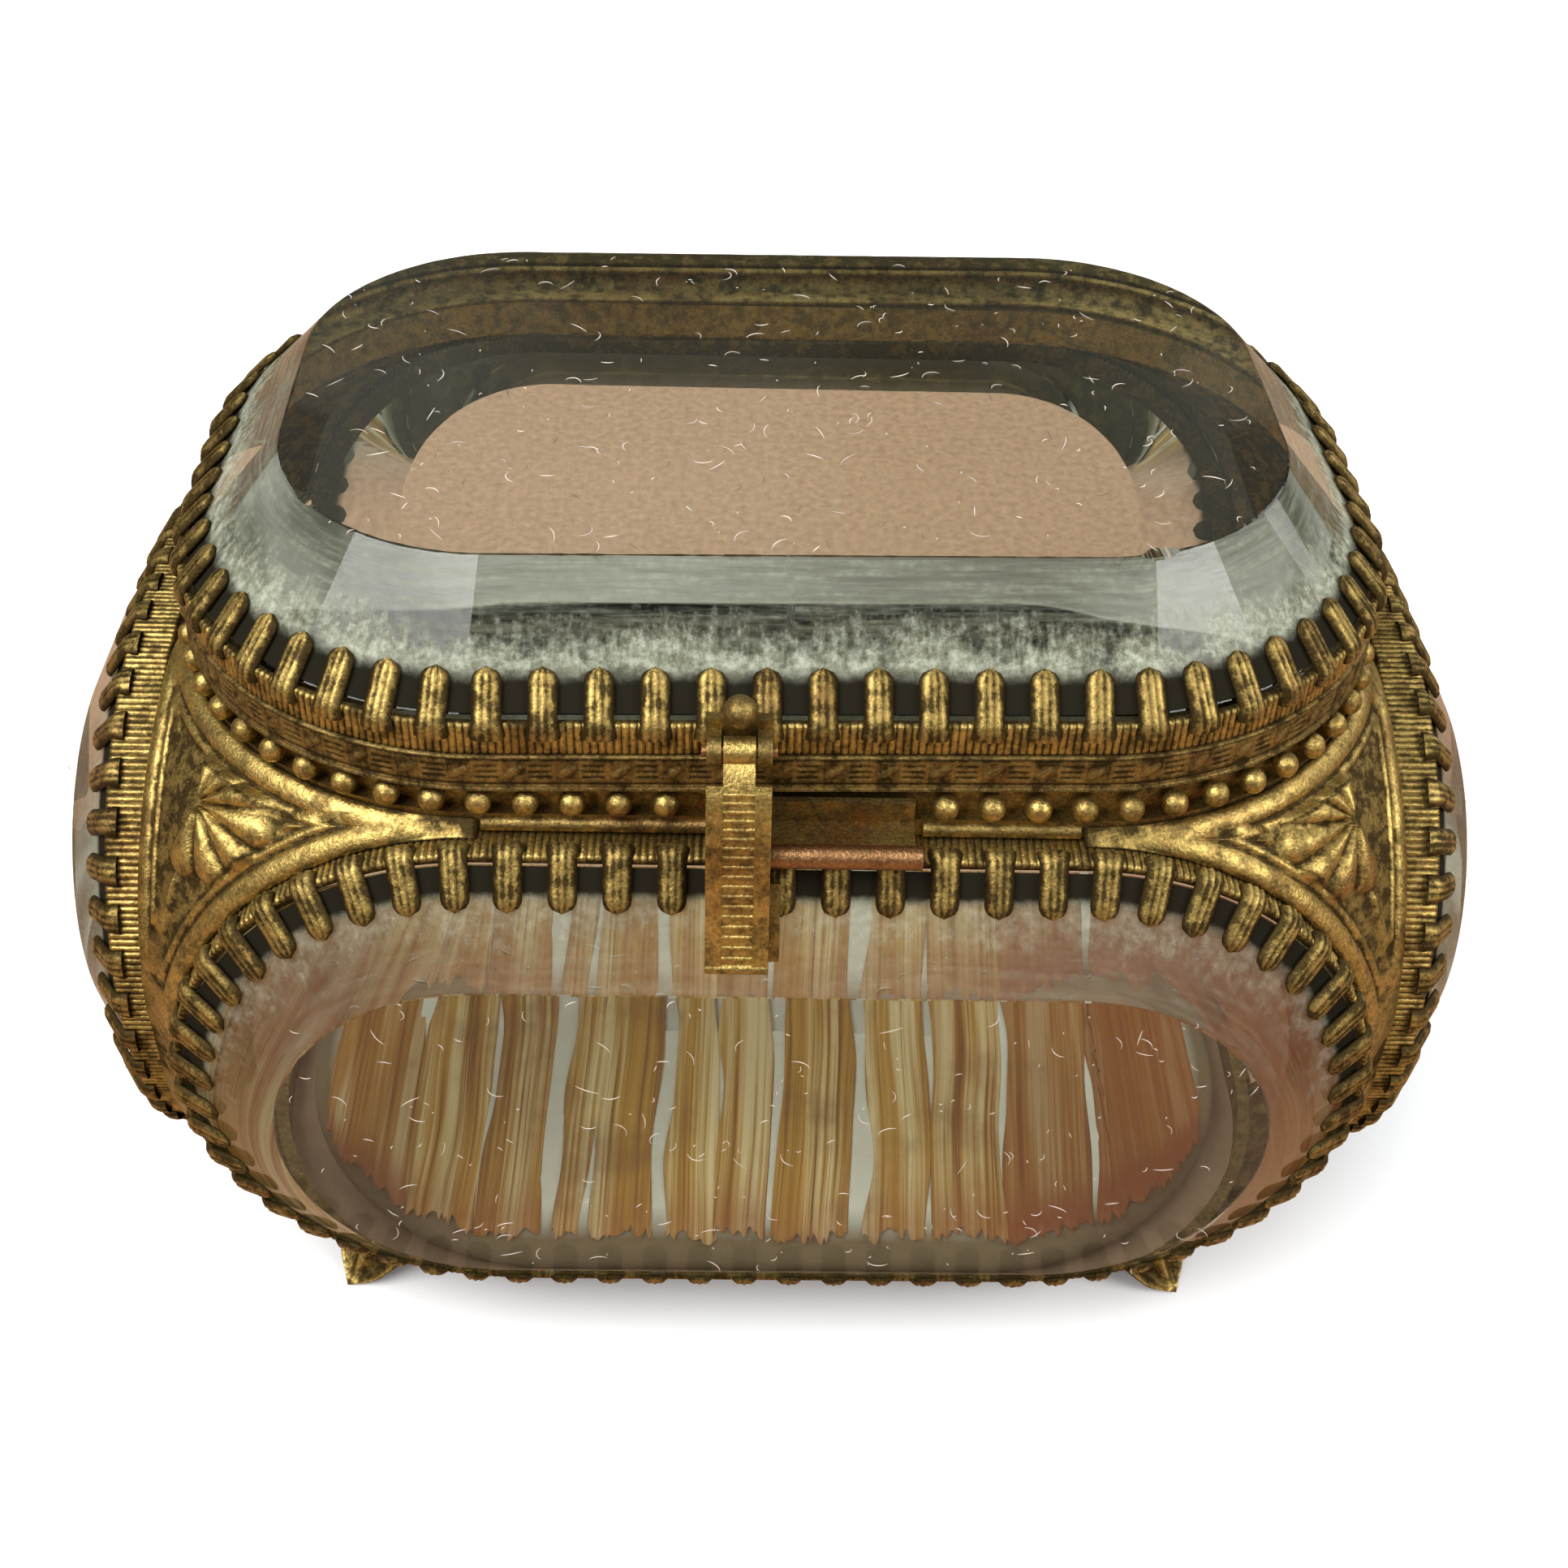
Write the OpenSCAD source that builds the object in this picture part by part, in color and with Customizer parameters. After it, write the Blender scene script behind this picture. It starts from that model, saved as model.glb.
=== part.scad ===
// Small jewel casket: five thick bevelled glasses held by claws in ribbed brass collets,
// eight stamped corner pieces, a hinged lid with a spring clasp, and a silk cushion inside.
// The origin is on the table, under the middle of the casket. +X is to the right, -Y is the front.

/* [Lid and rim] */
// Length of the lid and of the rim below it
ring_l = 89.2; // [86:0.2:92]
// Depth of the lid and of the rim below it
ring_d = 60.4; // [58:0.2:62]
// Corner radius of the lid and of the rim
ring_r = 24; // [20:0.5:26]
// Height of the chased band round the lid
band_h = 3.2; // [2.6:0.1:4]
// Height of the ribbed wall that holds the lid's glass
lid_wall_h = 2.7; // [2.4:0.1:3.6]
// How far the lid's flat facet stands above its claws
lid_rise = 7.7; // [5:0.1:9]
// Turn by which the lid sits askew on the body, in degrees
lid_askew = 1.2; // [0:0.1:1.5]

/* [Side panels] */
// How far the front and back collets reach past each end of the rim
front_over = 0.3; // [-0.5:0.1:1]
// How far the end collets stop short of the rim at the front and at the back
end_under = 1.8; // [1.2:0.1:2.5]
// Height of all four side glasses with their collets
panel_h = 48.2; // [44:0.2:52]
// How far the claw roots of the front and back stand out past the rim
front_out = 2.8; // [2.3:0.1:3.8]
// How far the claw roots of the ends stand out past the rim
end_out = 5.4; // [4.9:0.1:7.4]
// Depth of the ribbed wall that holds a side glass
side_wall_h = 3.6; // [3:0.1:4.2]
// How far a side glass's flat facet stands out from its claws
side_rise = 4.9; // [3.5:0.1:6]

/* [Glass and collets] */
// Width of the ground bevel, collet included
bevel_w = 8.3; // [7:0.1:9.5]
// Thickness of a collet's wall
wall_t = 0.7; // [0.5:0.05:0.9]
// Width of the ledge that the glass rests on
ledge_w = 1.9; // [1.4:0.1:2.4]
// Thickness of that ledge
ledge_t = 0.6; // [0.4:0.1:0.9]
// Spacing of the claws along a collet
claw_pitch = 3.7; // [3:0.1:5]
// Width of a claw
claw_w = 2.1; // [1.4:0.1:2.5]
// Length of a claw along the bevel
claw_l = 4.2; // [3:0.1:5]
// Thickness of a claw
claw_t = 0.5; // [0.35:0.05:0.7]

/* [Rim, base and corners] */
// Height of the rim above the side panels, and of the base below them
rim_h = 3.7; // [3.4:0.1:4.4]
// Thickness of the rim's and the base's wall
rim_t = 1.1; // [0.8:0.1:1.5]
// Width of the rim's and the base's inner flange
flange_w = 2.2; // [1.8:0.1:3]
// Radius of the beads round the rim
bead_r = 0.95; // [0.6:0.05:1.05]
// Spacing of the beads
bead_pitch = 3.2; // [2.4:0.1:4]
// Radius of the round moulding below the beads
moulding_r = 0.55; // [0.35:0.05:0.7]
// Thickness of the stamped corner pieces
corner_t = 0.9; // [0.7:0.05:1.1]
// Width that a corner piece keeps at its narrowest point
corner_neck = 0.75; // [0.6:0.05:1.2]
// Width of the raised border round a corner piece
border_w = 1.1; // [0.7:0.1:1.4]
// Height of that border
border_h = 0.45; // [0.25:0.05:0.6]
// Radius of the fan on a corner piece
fan_r = 5.4; // [4:0.1:6]
// Height of the fan
fan_h = 1.3; // [0.8:0.1:1.6]
// Number of petals in the fan
petals = 7; // [5:1:9]

/* [Feet] */
// Height of the feet
foot_h = 5.2; // [4:0.1:7]
// How far a foot's toe reaches out past the base
toe_out = 3.2; // [1:0.1:3.5]

/* [Hinge] */
// Length of the hinge
hinge_l = 21; // [15:0.5:27]
// Outer radius of the hinge's knuckles
knuckle_r = 1.25; // [1.1:0.05:1.3]
// Radius of the hinge pin
hinge_pin_r = 0.55; // [0.45:0.05:0.65]

/* [Clasp and catch] */
// Place of the clasp along the front
clasp_x = -3; // [-8:0.5:3]
// Width of the clasp's strap
strap_w = 4.3; // [3.6:0.1:5]
// Thickness of the strap's raised rims
strap_t = 0.65; // [0.5:0.05:0.8]
// Height of the strap, from its pivot down to its fold
strap_l = 15.4; // [14.6:0.1:16]
// Radius of the clasp's pin
clasp_pin_r = 0.42; // [0.35:0.01:0.5]
// Left end of the catch bar
catch_x0 = -4.8; // [-7:0.2:-3]
// Right end of the catch bar
catch_x1 = 9.4; // [7:0.2:12]
// Radius of the catch bar
catch_r = 0.85; // [0.7:0.05:0.95]

/* [Cushion] */
// Height of the cushion at its edge
pad_edge_h = 3.6; // [2.5:0.1:5]
// Rise of the cushion's crown above its edge
pad_crown = 2.6; // [1.5:0.1:4]
// Thickness of the silk strips
silk_t = 0.4; // [0.3:0.05:0.5]
// Number of strips that the silk has split into
silk_strips = 11; // [7:1:13]

/* [Hidden] */
$fn = 48;
// Clearance between pieces soldered or clamped together
seat = 0.05;
// Running clearance round a pin
running = 0.04;
// Clearance round what moves
free = 0.15;
// Clearance round what is soft
soft = 0.3;

// Thickness of flanges, plates and brackets
sheet_t = 0.6;

// The side glasses follow the rim
front_l = ring_l + 2 * front_over;
end_d = ring_d - 2 * end_under;
root_depth = ring_d + 2 * front_out;
root_length = ring_l + 2 * end_out;

// Heights, from the table up
panel_r = panel_h / 2;
panel_z = foot_h + rim_h + panel_r;
base_z = foot_h;
rim_z = panel_z + panel_r + rim_h;
lid_z = rim_z + 0.1;
collet_z = lid_z + band_h;

// The corner pieces lie on balls whose centres are the centres of the front's round ends
ball_x = front_l / 2 - panel_r;
ball_y = ring_d / 2 - ring_r;
ball_r = norm([ring_d / 2 - ball_y, panel_r]) + corner_neck;
// The top arc of a corner piece is cut clear of the beads
bead_z = rim_z - bead_r - 0.15;

// Slope of the bevel, from the glass's edge to its facet
edge_in = wall_t + 0.1;
claw_drop = 1.2 * claw_t;
function bevel_angle(rise) = atan((rise + claw_drop + 0.1) / bevel_w);
function edge_h(wall_h, rise) = wall_h - claw_drop - 0.1 + edge_in * tan(bevel_angle(rise));

// Radius of the mouldings on the lid's band
band_edge_r = 0.3;

hinge_y = ring_d / 2 + knuckle_r + 0.45;
hinge_z = rim_z + 0.05;
leaf_h = rim_h - 0.9;
// Direction in which a foot's toe points, from the corner's middle
foot_side = -53;
knuckles = 5;
knuckle_l = hinge_l / knuckles;

// The claws' backs stand out from the collet's wall by this much
claw_out = claw_t * sin(bevel_angle(lid_rise));
lug_t = 0.75;
ear_w = 0.95;
eye_r = 1;
pivot_y = -ring_d / 2 - lug_t - eye_r - 0.35;
pivot_z = collet_z + lid_wall_h - claw_drop;
catch_y = -root_depth / 2 - catch_r - 0.1;
catch_z = panel_z + panel_r + catch_r + 0.5;

pad_gap = 2;
pad_l = ring_l - 2 * (rim_t + pad_gap);
pad_d = ring_d - 2 * (rim_t + pad_gap);
pad_r = ring_r - 2 * pad_gap;
pad_z = base_z + 2 * sheet_t + 0.1;

gold = [0.72, 0.56, 0.24];
old_gold = [0.6, 0.45, 0.2];
copper = [0.6, 0.36, 0.22];
clear = [0.8, 0.86, 0.84, 0.45];

// A flat oblong with round corners
module oblong(l, d, r) {
    if (l > 2 * r + 0.01) square([l - 2 * r, d], center = true);
    if (d > 2 * r + 0.01) square([l, d - 2 * r], center = true);
    for (x = [-1, 1]) for (y = [-1, 1])
        translate([x * (l / 2 - r), y * (d / 2 - r)]) circle(r);
}

// Carries a profile round an oblong. The profile's x is r on the outline, less further in
module round_oblong(l, d, r) {
    a = l - 2 * r;
    b = d - 2 * r;
    for (k = [0 : 3]) {
        sx = (k == 0 || k == 3) ? 1 : -1;
        sy = k < 2 ? 1 : -1;
        translate([sx * a / 2, sy * b / 2, 0])
            rotate([0, 0, 90 * k]) rotate_extrude(angle = 90) children();
    }
    if (a > 0.01) for (k = [1, 3])
        rotate([0, 0, 90 * k]) translate([b / 2, 0, 0])
            rotate([90, 0, 0]) linear_extrude(a, center = true) children();
    if (b > 0.01) for (k = [0, 2])
        rotate([0, 0, 90 * k]) translate([a / 2, 0, 0])
            rotate([90, 0, 0]) linear_extrude(b, center = true) children();
}

// Place and outward direction at a distance s along an oblong, from the middle of its -Y side
function oblong_spot(l, d, r, s) =
    let (a = l / 2 - r, b = d / 2 - r, q = PI * r / 2)
    s < a ? [s, -d / 2, -90] :
    s < a + q ? arc_spot(a, -b, r, -90, s - a) :
    s < a + q + 2 * b ? [l / 2, s - a - q - b, 0] :
    s < a + 2 * q + 2 * b ? arc_spot(a, b, r, 0, s - a - q - 2 * b) :
    s < 3 * a + 2 * q + 2 * b ? [2 * a + 2 * q + 2 * b - s, d / 2, 90] :
    s < 3 * a + 3 * q + 2 * b ? arc_spot(-a, b, r, 90, s - 3 * a - 2 * q - 2 * b) :
    s < 3 * a + 3 * q + 4 * b ? [-l / 2, 3 * a + 3 * q + 3 * b - s, 180] :
    s < 3 * a + 4 * q + 4 * b ? arc_spot(-a, -b, r, 180, s - 3 * a - 3 * q - 4 * b) :
    [s - 4 * a - 4 * q - 4 * b, -d / 2, 270];
function arc_spot(x, y, r, from, s) =
    let (t = from + s / r * 180 / PI) [x + r * cos(t), y + r * sin(t), t];
function oblong_length(l, d, r) = 2 * (l - 2 * r) + 2 * (d - 2 * r) + 2 * PI * r;

// One claw, from the outline inwards over the bevel
module claw(slope) {
    rotate([0, -slope, 180]) linear_extrude(claw_t) {
        translate([0, -claw_w / 2]) square([claw_l - claw_w / 2, claw_w]);
        translate([claw_l - claw_w / 2, 0]) circle(claw_w / 2);
    }
}

// A collet: ribbed wall, inner ledge and a row of claws, with its back at z = 0
module collet(l, d, r, wall_h, rise) {
    slope = bevel_angle(rise);
    root = wall_h - claw_drop;
    round_oblong(l, d, r) {
        union() {
            translate([r - wall_t, 0]) square([wall_t, wall_h - 0.2]);
            translate([r - ledge_w, 0]) square([ledge_w, ledge_t]);
        }
    }
    count = round(oblong_length(l, d, r) / claw_pitch);
    for (i = [0 : count - 1]) {
        spot = oblong_spot(l, d, r, (i + 0.5) * oblong_length(l, d, r) / count);
        translate([spot[0], spot[1], root]) rotate([0, 0, spot[2]]) claw(slope);
    }
}

// A bevelled glass that sits in such a collet
module bevelled_glass(l, d, r, wall_h, rise) {
    bottom = ledge_t + seat;
    top = wall_h + rise;
    round_oblong(l, d, r) {
        polygon([[r - edge_in, bottom], [r - edge_in, edge_h(wall_h, rise)],
            [r - bevel_w, top], [r - bevel_w, bottom]]);
    }
    translate([0, 0, bottom]) linear_extrude(top - bottom)
        oblong(l - 2 * bevel_w, d - 2 * bevel_w, r - bevel_w);
}

// Places of the five glasses: each child is drawn with its back at z = 0
module on_front() {
    translate([0, side_wall_h - root_depth / 2, panel_z]) rotate([90, 0, 0]) children();
}
module on_back() { rotate([0, 0, 180]) on_front() children(); }
module on_right() {
    translate([root_length / 2 - side_wall_h, 0, panel_z]) rotate([90, 0, 90]) children();
}
module on_left() { rotate([0, 0, 180]) on_right() children(); }
module on_lid() { rotate([0, 0, lid_askew]) children(); }

module side_collet(l) { color(gold) collet(l, panel_h, panel_r, side_wall_h, side_rise); }
module side_glass(l) { color(clear) bevelled_glass(l, panel_h, panel_r, side_wall_h, side_rise); }
module front_collet() { on_front() side_collet(front_l); }
module back_collet() { on_back() side_collet(front_l); }
module left_collet() { on_left() side_collet(end_d); }
module right_collet() { on_right() side_collet(end_d); }
module front_glass() { on_front() side_glass(front_l); }
module back_glass() { on_back() side_glass(front_l); }
module left_glass() { on_left() side_glass(end_d); }
module right_glass() { on_right() side_glass(end_d); }

module lid_collet() {
    color(gold) on_lid() translate([0, 0, collet_z])
        collet(ring_l, ring_d, ring_r, lid_wall_h, lid_rise);
}
module lid_glass() {
    color(clear) on_lid() translate([0, 0, collet_z])
        bevelled_glass(ring_l, ring_d, ring_r, lid_wall_h, lid_rise);
}

// The lid's chased band: a channel with a round moulding along each edge
module lid_frame() {
    flange_t = 0.5;
    color(old_gold) on_lid() translate([0, 0, lid_z]) round_oblong(ring_l, ring_d, ring_r) {
        union() {
            translate([ring_r - wall_t, 0]) square([wall_t, band_h]);
            for (z = [0, band_h - flange_t])
                translate([ring_r - flange_w, z]) square([flange_w, flange_t]);
            for (z = [band_edge_r, band_h - band_edge_r])
                translate([ring_r, z]) circle(band_edge_r);
        }
    }
}

// Is a spot on the rim covered by the catch in front or by the hinge behind?
function covered(p) =
    (p[1] < -ring_d / 2 + 1 && p[0] > catch_x0 - bead_r && p[0] < catch_x1 + bead_r) ||
    (p[1] > ring_d / 2 - 1 && abs(p[0]) < hinge_l / 2 + bead_r + 0.3);

// The ring under the side panels, upside down the rim above them, with its edge at z = 0.
// A groove of a depth leaves room for a row of beads
module edge_ring(groove) {
    r = ring_r - seat;
    step = groove > 0 ? 2 * bead_r + 0.35 : 0;
    round_oblong(ring_l - 2 * seat, ring_d - 2 * seat, r) {
        union() {
            translate([r - rim_t, step]) square([rim_t, rim_h - seat - step]);
            translate([r - flange_w, step]) square([flange_w, sheet_t]);
            if (groove > 0)
                translate([r - flange_w, 0]) square([flange_w - groove, step + sheet_t]);
        }
    }
}

// A straight round moulding on the edge ring, from x0 to x1, on the front
module moulding(x0, x1) {
    translate([x0, seat - ring_d / 2, rim_h - seat - moulding_r])
        rotate([0, 90, 0]) cylinder(r = moulding_r, h = x1 - x0);
}

// The beaded rim that the lid closes on
module top_rim() {
    a = ring_l / 2 - ring_r;
    b = ring_d / 2 - ring_r;
    color(old_gold) translate([0, 0, rim_z]) {
        mirror([0, 0, 1]) {
            edge_ring(bead_r);
            moulding(-a, catch_x0 - 0.3);
            moulding(catch_x1 + 0.3, a);
            rotate([0, 0, 180]) {
                moulding(-a, -hinge_l / 2 - 0.3);
                moulding(hinge_l / 2 + 0.3, a);
            }
            for (k = [90, 270]) rotate([0, 0, k])
                translate([0, (ring_d - ring_l) / 2, 0]) moulding(-b, b);
        }
    }
}

// The row of beads round the rim, each on the rim's wall
module bead_row() {
    count = round(oblong_length(ring_l, ring_d, ring_r) / bead_pitch);
    color(gold) for (i = [0 : count - 1]) {
        spot = oblong_spot(ring_l, ring_d, ring_r,
            (i + 0.5) * oblong_length(ring_l, ring_d, ring_r) / count);
        if (!covered(spot)) translate([spot[0], spot[1], bead_z]) sphere(bead_r);
    }
}

// The ring under the side panels
module base_ring() {
    a = ring_l / 2 - ring_r;
    b = ring_d / 2 - ring_r;
    color(old_gold) translate([0, 0, base_z]) {
        edge_ring(0);
        for (k = [0, 180]) rotate([0, 0, k]) moulding(-a, a);
        for (k = [90, 270]) rotate([0, 0, k])
            translate([0, (ring_d - ring_l) / 2, 0]) moulding(-b, b);
    }
}

// The sheet that closes the bottom, lying on the base ring's flange
module base_plate() {
    in = rim_t + 2 * seat;
    color([0.45, 0.32, 0.18]) translate([0, 0, base_z + sheet_t + seat])
        linear_extrude(sheet_t) oblong(ring_l - 2 * in, ring_d - 2 * in, ring_r - in);
}

// Prisms along the front, end and top outlines, each wider than its outline by more
module outline_prisms(more) {
    reach = ring_l;
    translate([0, 0, panel_z]) rotate([90, 0, 0])
        linear_extrude(reach) oblong(front_l + 2 * more, panel_h + 2 * more, panel_r + more);
    translate([0, 0, panel_z]) rotate([90, 0, 90])
        linear_extrude(reach) oblong(end_d + 2 * more, panel_h + 2 * more, panel_r + more);
    translate([0, 0, panel_z])
        linear_extrude(reach) oblong(ring_l + 2 * more, ring_d + 2 * more, ring_r + more);
}

// A fan: half of a low dome, fluted by grooves that run out from its root. It lies on z = 0
module fan() {
    dome_r = (fan_r * fan_r + fan_h * fan_h) / (2 * fan_h);
    root_w = 0.6;
    groove = [2 * fan_r, 1.24, 1.24];
    groove_fall = 9;
    difference() {
        intersection() {
            translate([0, 0, fan_h - dome_r]) sphere(dome_r);
            translate([-root_w, -2 * fan_r, -fan_h]) cube([3 * fan_r, 4 * fan_r, 3 * fan_h]);
        }
        for (i = [1 : petals - 1])
            rotate([0, groove_fall, -90 + i * 180 / petals])
                translate([root_w, 0, fan_h + 0.1]) rotate([45, 0, 0])
                    translate([0, -groove[1] / 2, -groove[2] / 2]) cube(groove);
    }
}

// The upper front right corner piece: a stamping on a ball, cut by the three outlines
module corner_piece() {
    reach = 2 * ball_r;
    centre = [ball_x, -ball_y, panel_z];
    fan_up = 34;
    fan_side = -46;
    fan_turn = -102;
    sunk = 0.3;
    cut = bead_r + 0.1;
    difference() {
        intersection() {
            union() {
                translate(centre) sphere(ball_r);
                intersection() {
                    translate(centre) sphere(ball_r + border_h);
                    outline_prisms(seat + border_w);
                }
                translate(centre) rotate([0, 90 - fan_up, fan_side])
                    translate([0, 0, ball_r - sunk]) rotate([0, 0, fan_turn]) fan();
            }
            translate(centre + [seat, -seat - reach, seat]) cube(reach);
        }
        translate(centre) sphere(ball_r - corner_t);
        outline_prisms(seat);
        translate([0, 0, bead_z - cut]) linear_extrude(reach)
            oblong(ring_l + 2 * cut, ring_d + 2 * cut, ring_r + cut);
    }
}
module upper(x, y) { color(gold) mirror([x, 0, 0]) mirror([0, y, 0]) corner_piece(); }
module lower(x, y) {
    color(gold) translate([0, 0, 2 * panel_z]) mirror([0, 0, 1])
        mirror([x, 0, 0]) mirror([0, y, 0]) corner_piece();
}

// A foot: a leaf that hangs from the base's corner and narrows to a splayed toe. A ridge runs
// down its middle, and a lobe curls out on each side
module foot() {
    toe_r = 1.3;
    toe = ring_r + toe_out - toe_r;
    root = ring_r - 2.4;
    leaf_w = 8.4;
    leaf_t = 1.1;
    lean = atan2(toe - root, foot_h);
    slant = norm([toe - root, foot_h]);
    lobe_turn = 38;
    translate([ring_l / 2 - ring_r, ring_r - ring_d / 2, 0]) rotate([0, 0, foot_side]) intersection() {
        union() {
            translate([root, 0, foot_h]) rotate([0, 90 - lean, 0]) rotate([0, 90, 0])
                translate([0, 0, -leaf_t / 2]) linear_extrude(leaf_t)
                    polygon([[-toe_r, -leaf_w / 2], [-toe_r, leaf_w / 2], [slant - toe_r, toe_r],
                        [slant, 0], [slant - toe_r, -toe_r]]);
            translate([root, 0, foot_h + toe_r]) rotate([0, 180 - lean, 0])
                cylinder(r1 = 1.9, r2 = 0.8, h = slant);
            translate([toe, 0, toe_r - 0.3]) sphere(toe_r);
            for (side = [-1, 1])
                translate([root, side, foot_h + toe_r]) rotate([-lobe_turn * side, 180 - lean / 2, 0])
                    cylinder(r1 = 1.9, r2 = 0.7, h = foot_h);
        }
        translate([0, -ring_r / 2, 0]) cube([2 * ring_r, ring_r, foot_h]);
    }
}
module foot_at(x, y) { color(gold) mirror([x, 0, 0]) mirror([0, y, 0]) foot(); }

// Knuckles number first, first + 2 and so on of the hinge, longer or shorter by more at each end
module knuckle_row(first, r, more) {
    for (k = [first : 2 : knuckles - 1])
        translate([-hinge_l / 2 + k * knuckle_l - more, hinge_y, hinge_z])
            rotate([0, 90, 0]) cylinder(r = r, h = knuckle_l + 2 * more);
}

// A hinge leaf: knuckles, and a plate that joins them to the rim or the lid. The plate spans
// leaf_h upwards from z0, and each knuckle has an arm to it
module hinge_leaf(first, plate_y, z0) {
    arm_z = min(z0, hinge_z) + 0.3;
    color(old_gold) difference() {
        union() {
            knuckle_row(first, knuckle_r, -seat);
            translate([-hinge_l / 2, plate_y, z0]) cube([hinge_l, sheet_t, leaf_h]);
            for (k = [first : 2 : knuckles - 1])
                translate([-hinge_l / 2 + k * knuckle_l + seat, plate_y, arm_z])
                    cube([knuckle_l - 2 * seat, hinge_y - plate_y, leaf_h / 2 + 0.5]);
        }
        knuckle_row(1 - first, knuckle_r + free, free);
        translate([-hinge_l, hinge_y, hinge_z]) rotate([0, 90, 0])
            cylinder(r = hinge_pin_r + running, h = 2 * hinge_l);
    }
}
module hinge_leaf_body() {
    hinge_leaf(0, ring_d / 2, hinge_z - leaf_h - 0.3);
}
module hinge_leaf_lid() {
    skew_gap = seat + hinge_l / 2 * sin(lid_askew);
    color(old_gold) difference() {
        hinge_leaf(1, ring_d / 2 + skew_gap, hinge_z + 0.3);
        on_lid() for (z = [band_edge_r, band_h - band_edge_r])
            translate([-hinge_l, ring_d / 2, lid_z + z]) rotate([0, 90, 0])
                cylinder(r = band_edge_r + seat, h = 2 * hinge_l);
    }
}
module hinge_pin() {
    color(gold) translate([-hinge_l / 2 - 0.6, hinge_y, hinge_z]) rotate([0, 90, 0]) {
        cylinder(r = hinge_pin_r, h = hinge_l + 1.2);
        for (x = [0, hinge_l + 0.7]) translate([0, 0, x]) cylinder(r = hinge_pin_r + 0.3, h = 0.5);
    }
}

// The clasp's bracket: a plate on the collet, two ears and a round knob
module clasp_lug() {
    plate_y = -ring_d / 2 - 2 * seat;
    plate_h = lid_wall_h + 1;
    knob_r = 1.15;
    arm_h = 1.8;
    notch = claw_out + 0.2;
    color(old_gold) difference() {
        union() {
            translate([clasp_x - strap_w / 2, plate_y - lug_t, collet_z + seat])
                cube([strap_w, lug_t, plate_h]);
            translate([clasp_x, plate_y - lug_t, collet_z + plate_h + 0.6 * knob_r]) sphere(knob_r);
            for (x = [clasp_x - strap_w / 2, clasp_x + strap_w / 2 - ear_w]) {
                translate([x, pivot_y, pivot_z]) rotate([0, 90, 0]) cylinder(r = eye_r + seat, h = ear_w);
                translate([x, pivot_y, pivot_z - arm_h / 2])
                    cube([ear_w, plate_y - lug_t / 2 - pivot_y, arm_h]);
            }
        }
        translate([clasp_x - strap_w, plate_y - notch, collet_z + lid_wall_h - claw_drop - 0.2])
            cube([2 * strap_w, 2 * notch, claw_t + 0.3]);
        translate([clasp_x - strap_w, pivot_y, pivot_z]) rotate([0, 90, 0])
            cylinder(r = clasp_pin_r + running, h = 2 * strap_w);
    }
}
module clasp_pin() {
    color(copper) translate([clasp_x - strap_w / 2 - 0.35, pivot_y, pivot_z])
        rotate([0, 90, 0]) cylinder(r = clasp_pin_r, h = strap_w + 0.7);
}

// The strap's line, seen from the side, as [outwards, down] from its pivot
function bezier(p, u) =
    pow(1 - u, 3) * p[0] + 3 * u * pow(1 - u, 2) * p[1]
    + 3 * u * u * (1 - u) * p[2] + pow(u, 3) * p[3];
strap_curve = [[0.7, 0.4], [3.8, 2.6], [3.4, 9], [5.2, strap_l - 0.5]];
spring_curve = [
    [4.55, strap_l - 0.6], [4.2, strap_l - 2.6], [3.4, strap_l - 4.6], [2.75, strap_l - 6.2]
];

// A bent ribbon of a width, along part of a curve
module ribbon(curve, u0, u1, thick, width) {
    steps = 14;
    line = [for (i = [0 : steps]) let (p = bezier(curve, u0 + (u1 - u0) * i / steps))
        [pivot_y - p[0], pivot_z - p[1]]];
    side = [for (i = [0 : steps])
        let (d = line[min(i + 1, steps)] - line[max(i - 1, 0)]) [-d[1], d[0]] / norm(d) * thick / 2];
    rotate([90, 0, 90]) linear_extrude(width, center = true)
        polygon(concat([for (i = [0 : steps]) line[i] + side[i]],
            [for (i = [steps : -1 : 0]) line[i] - side[i]]));
}

// The clasp's outer strap: two raised rims, a ladder of rungs between them, and a rolled end
module clasp_strap() {
    eye_w = strap_w - 2 * ear_w - 2 * free;
    rim_w = 1.1;
    sheet = 0.35;
    start = 0.13;
    rungs = 18;
    rung_r = 0.2;
    roll_r = 0.42;
    color(gold) difference() {
        translate([clasp_x, 0, 0]) {
            translate([-eye_w / 2, pivot_y, pivot_z]) rotate([0, 90, 0]) cylinder(r = eye_r, h = eye_w);
            ribbon(strap_curve, 0, start + 0.05, 0.5, eye_w);
            ribbon(strap_curve, start, 1, sheet, strap_w);
            for (x = [-1, 1]) translate([x * (strap_w - rim_w) / 2, 0, 0])
                ribbon(strap_curve, start, 1, strap_t, rim_w);
            for (i = [1 : rungs]) {
                p = bezier(strap_curve, start + (1 - start) * i / (rungs + 1));
                translate([(rim_w - strap_w) / 2, pivot_y - p[0] - rung_r / 2, pivot_z - p[1]])
                    rotate([0, 90, 0]) cylinder(r = rung_r, h = strap_w - rim_w);
            }
            translate([-strap_w / 2, pivot_y - strap_curve[3][0], pivot_z - strap_curve[3][1]])
                rotate([0, 90, 0]) cylinder(r = roll_r, h = strap_w);
        }
        translate([clasp_x - strap_w, pivot_y, pivot_z]) rotate([0, 90, 0])
            cylinder(r = clasp_pin_r + running, h = 2 * strap_w);
    }
}

// The spring leg behind the strap, which grips the catch bar
module clasp_spring() {
    spring_w = 3.2;
    aside = 1.3;
    color([0.62, 0.58, 0.48]) translate([clasp_x + aside, 0, 0])
        ribbon(spring_curve, 0, 1, 0.3, spring_w);
}

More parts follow.
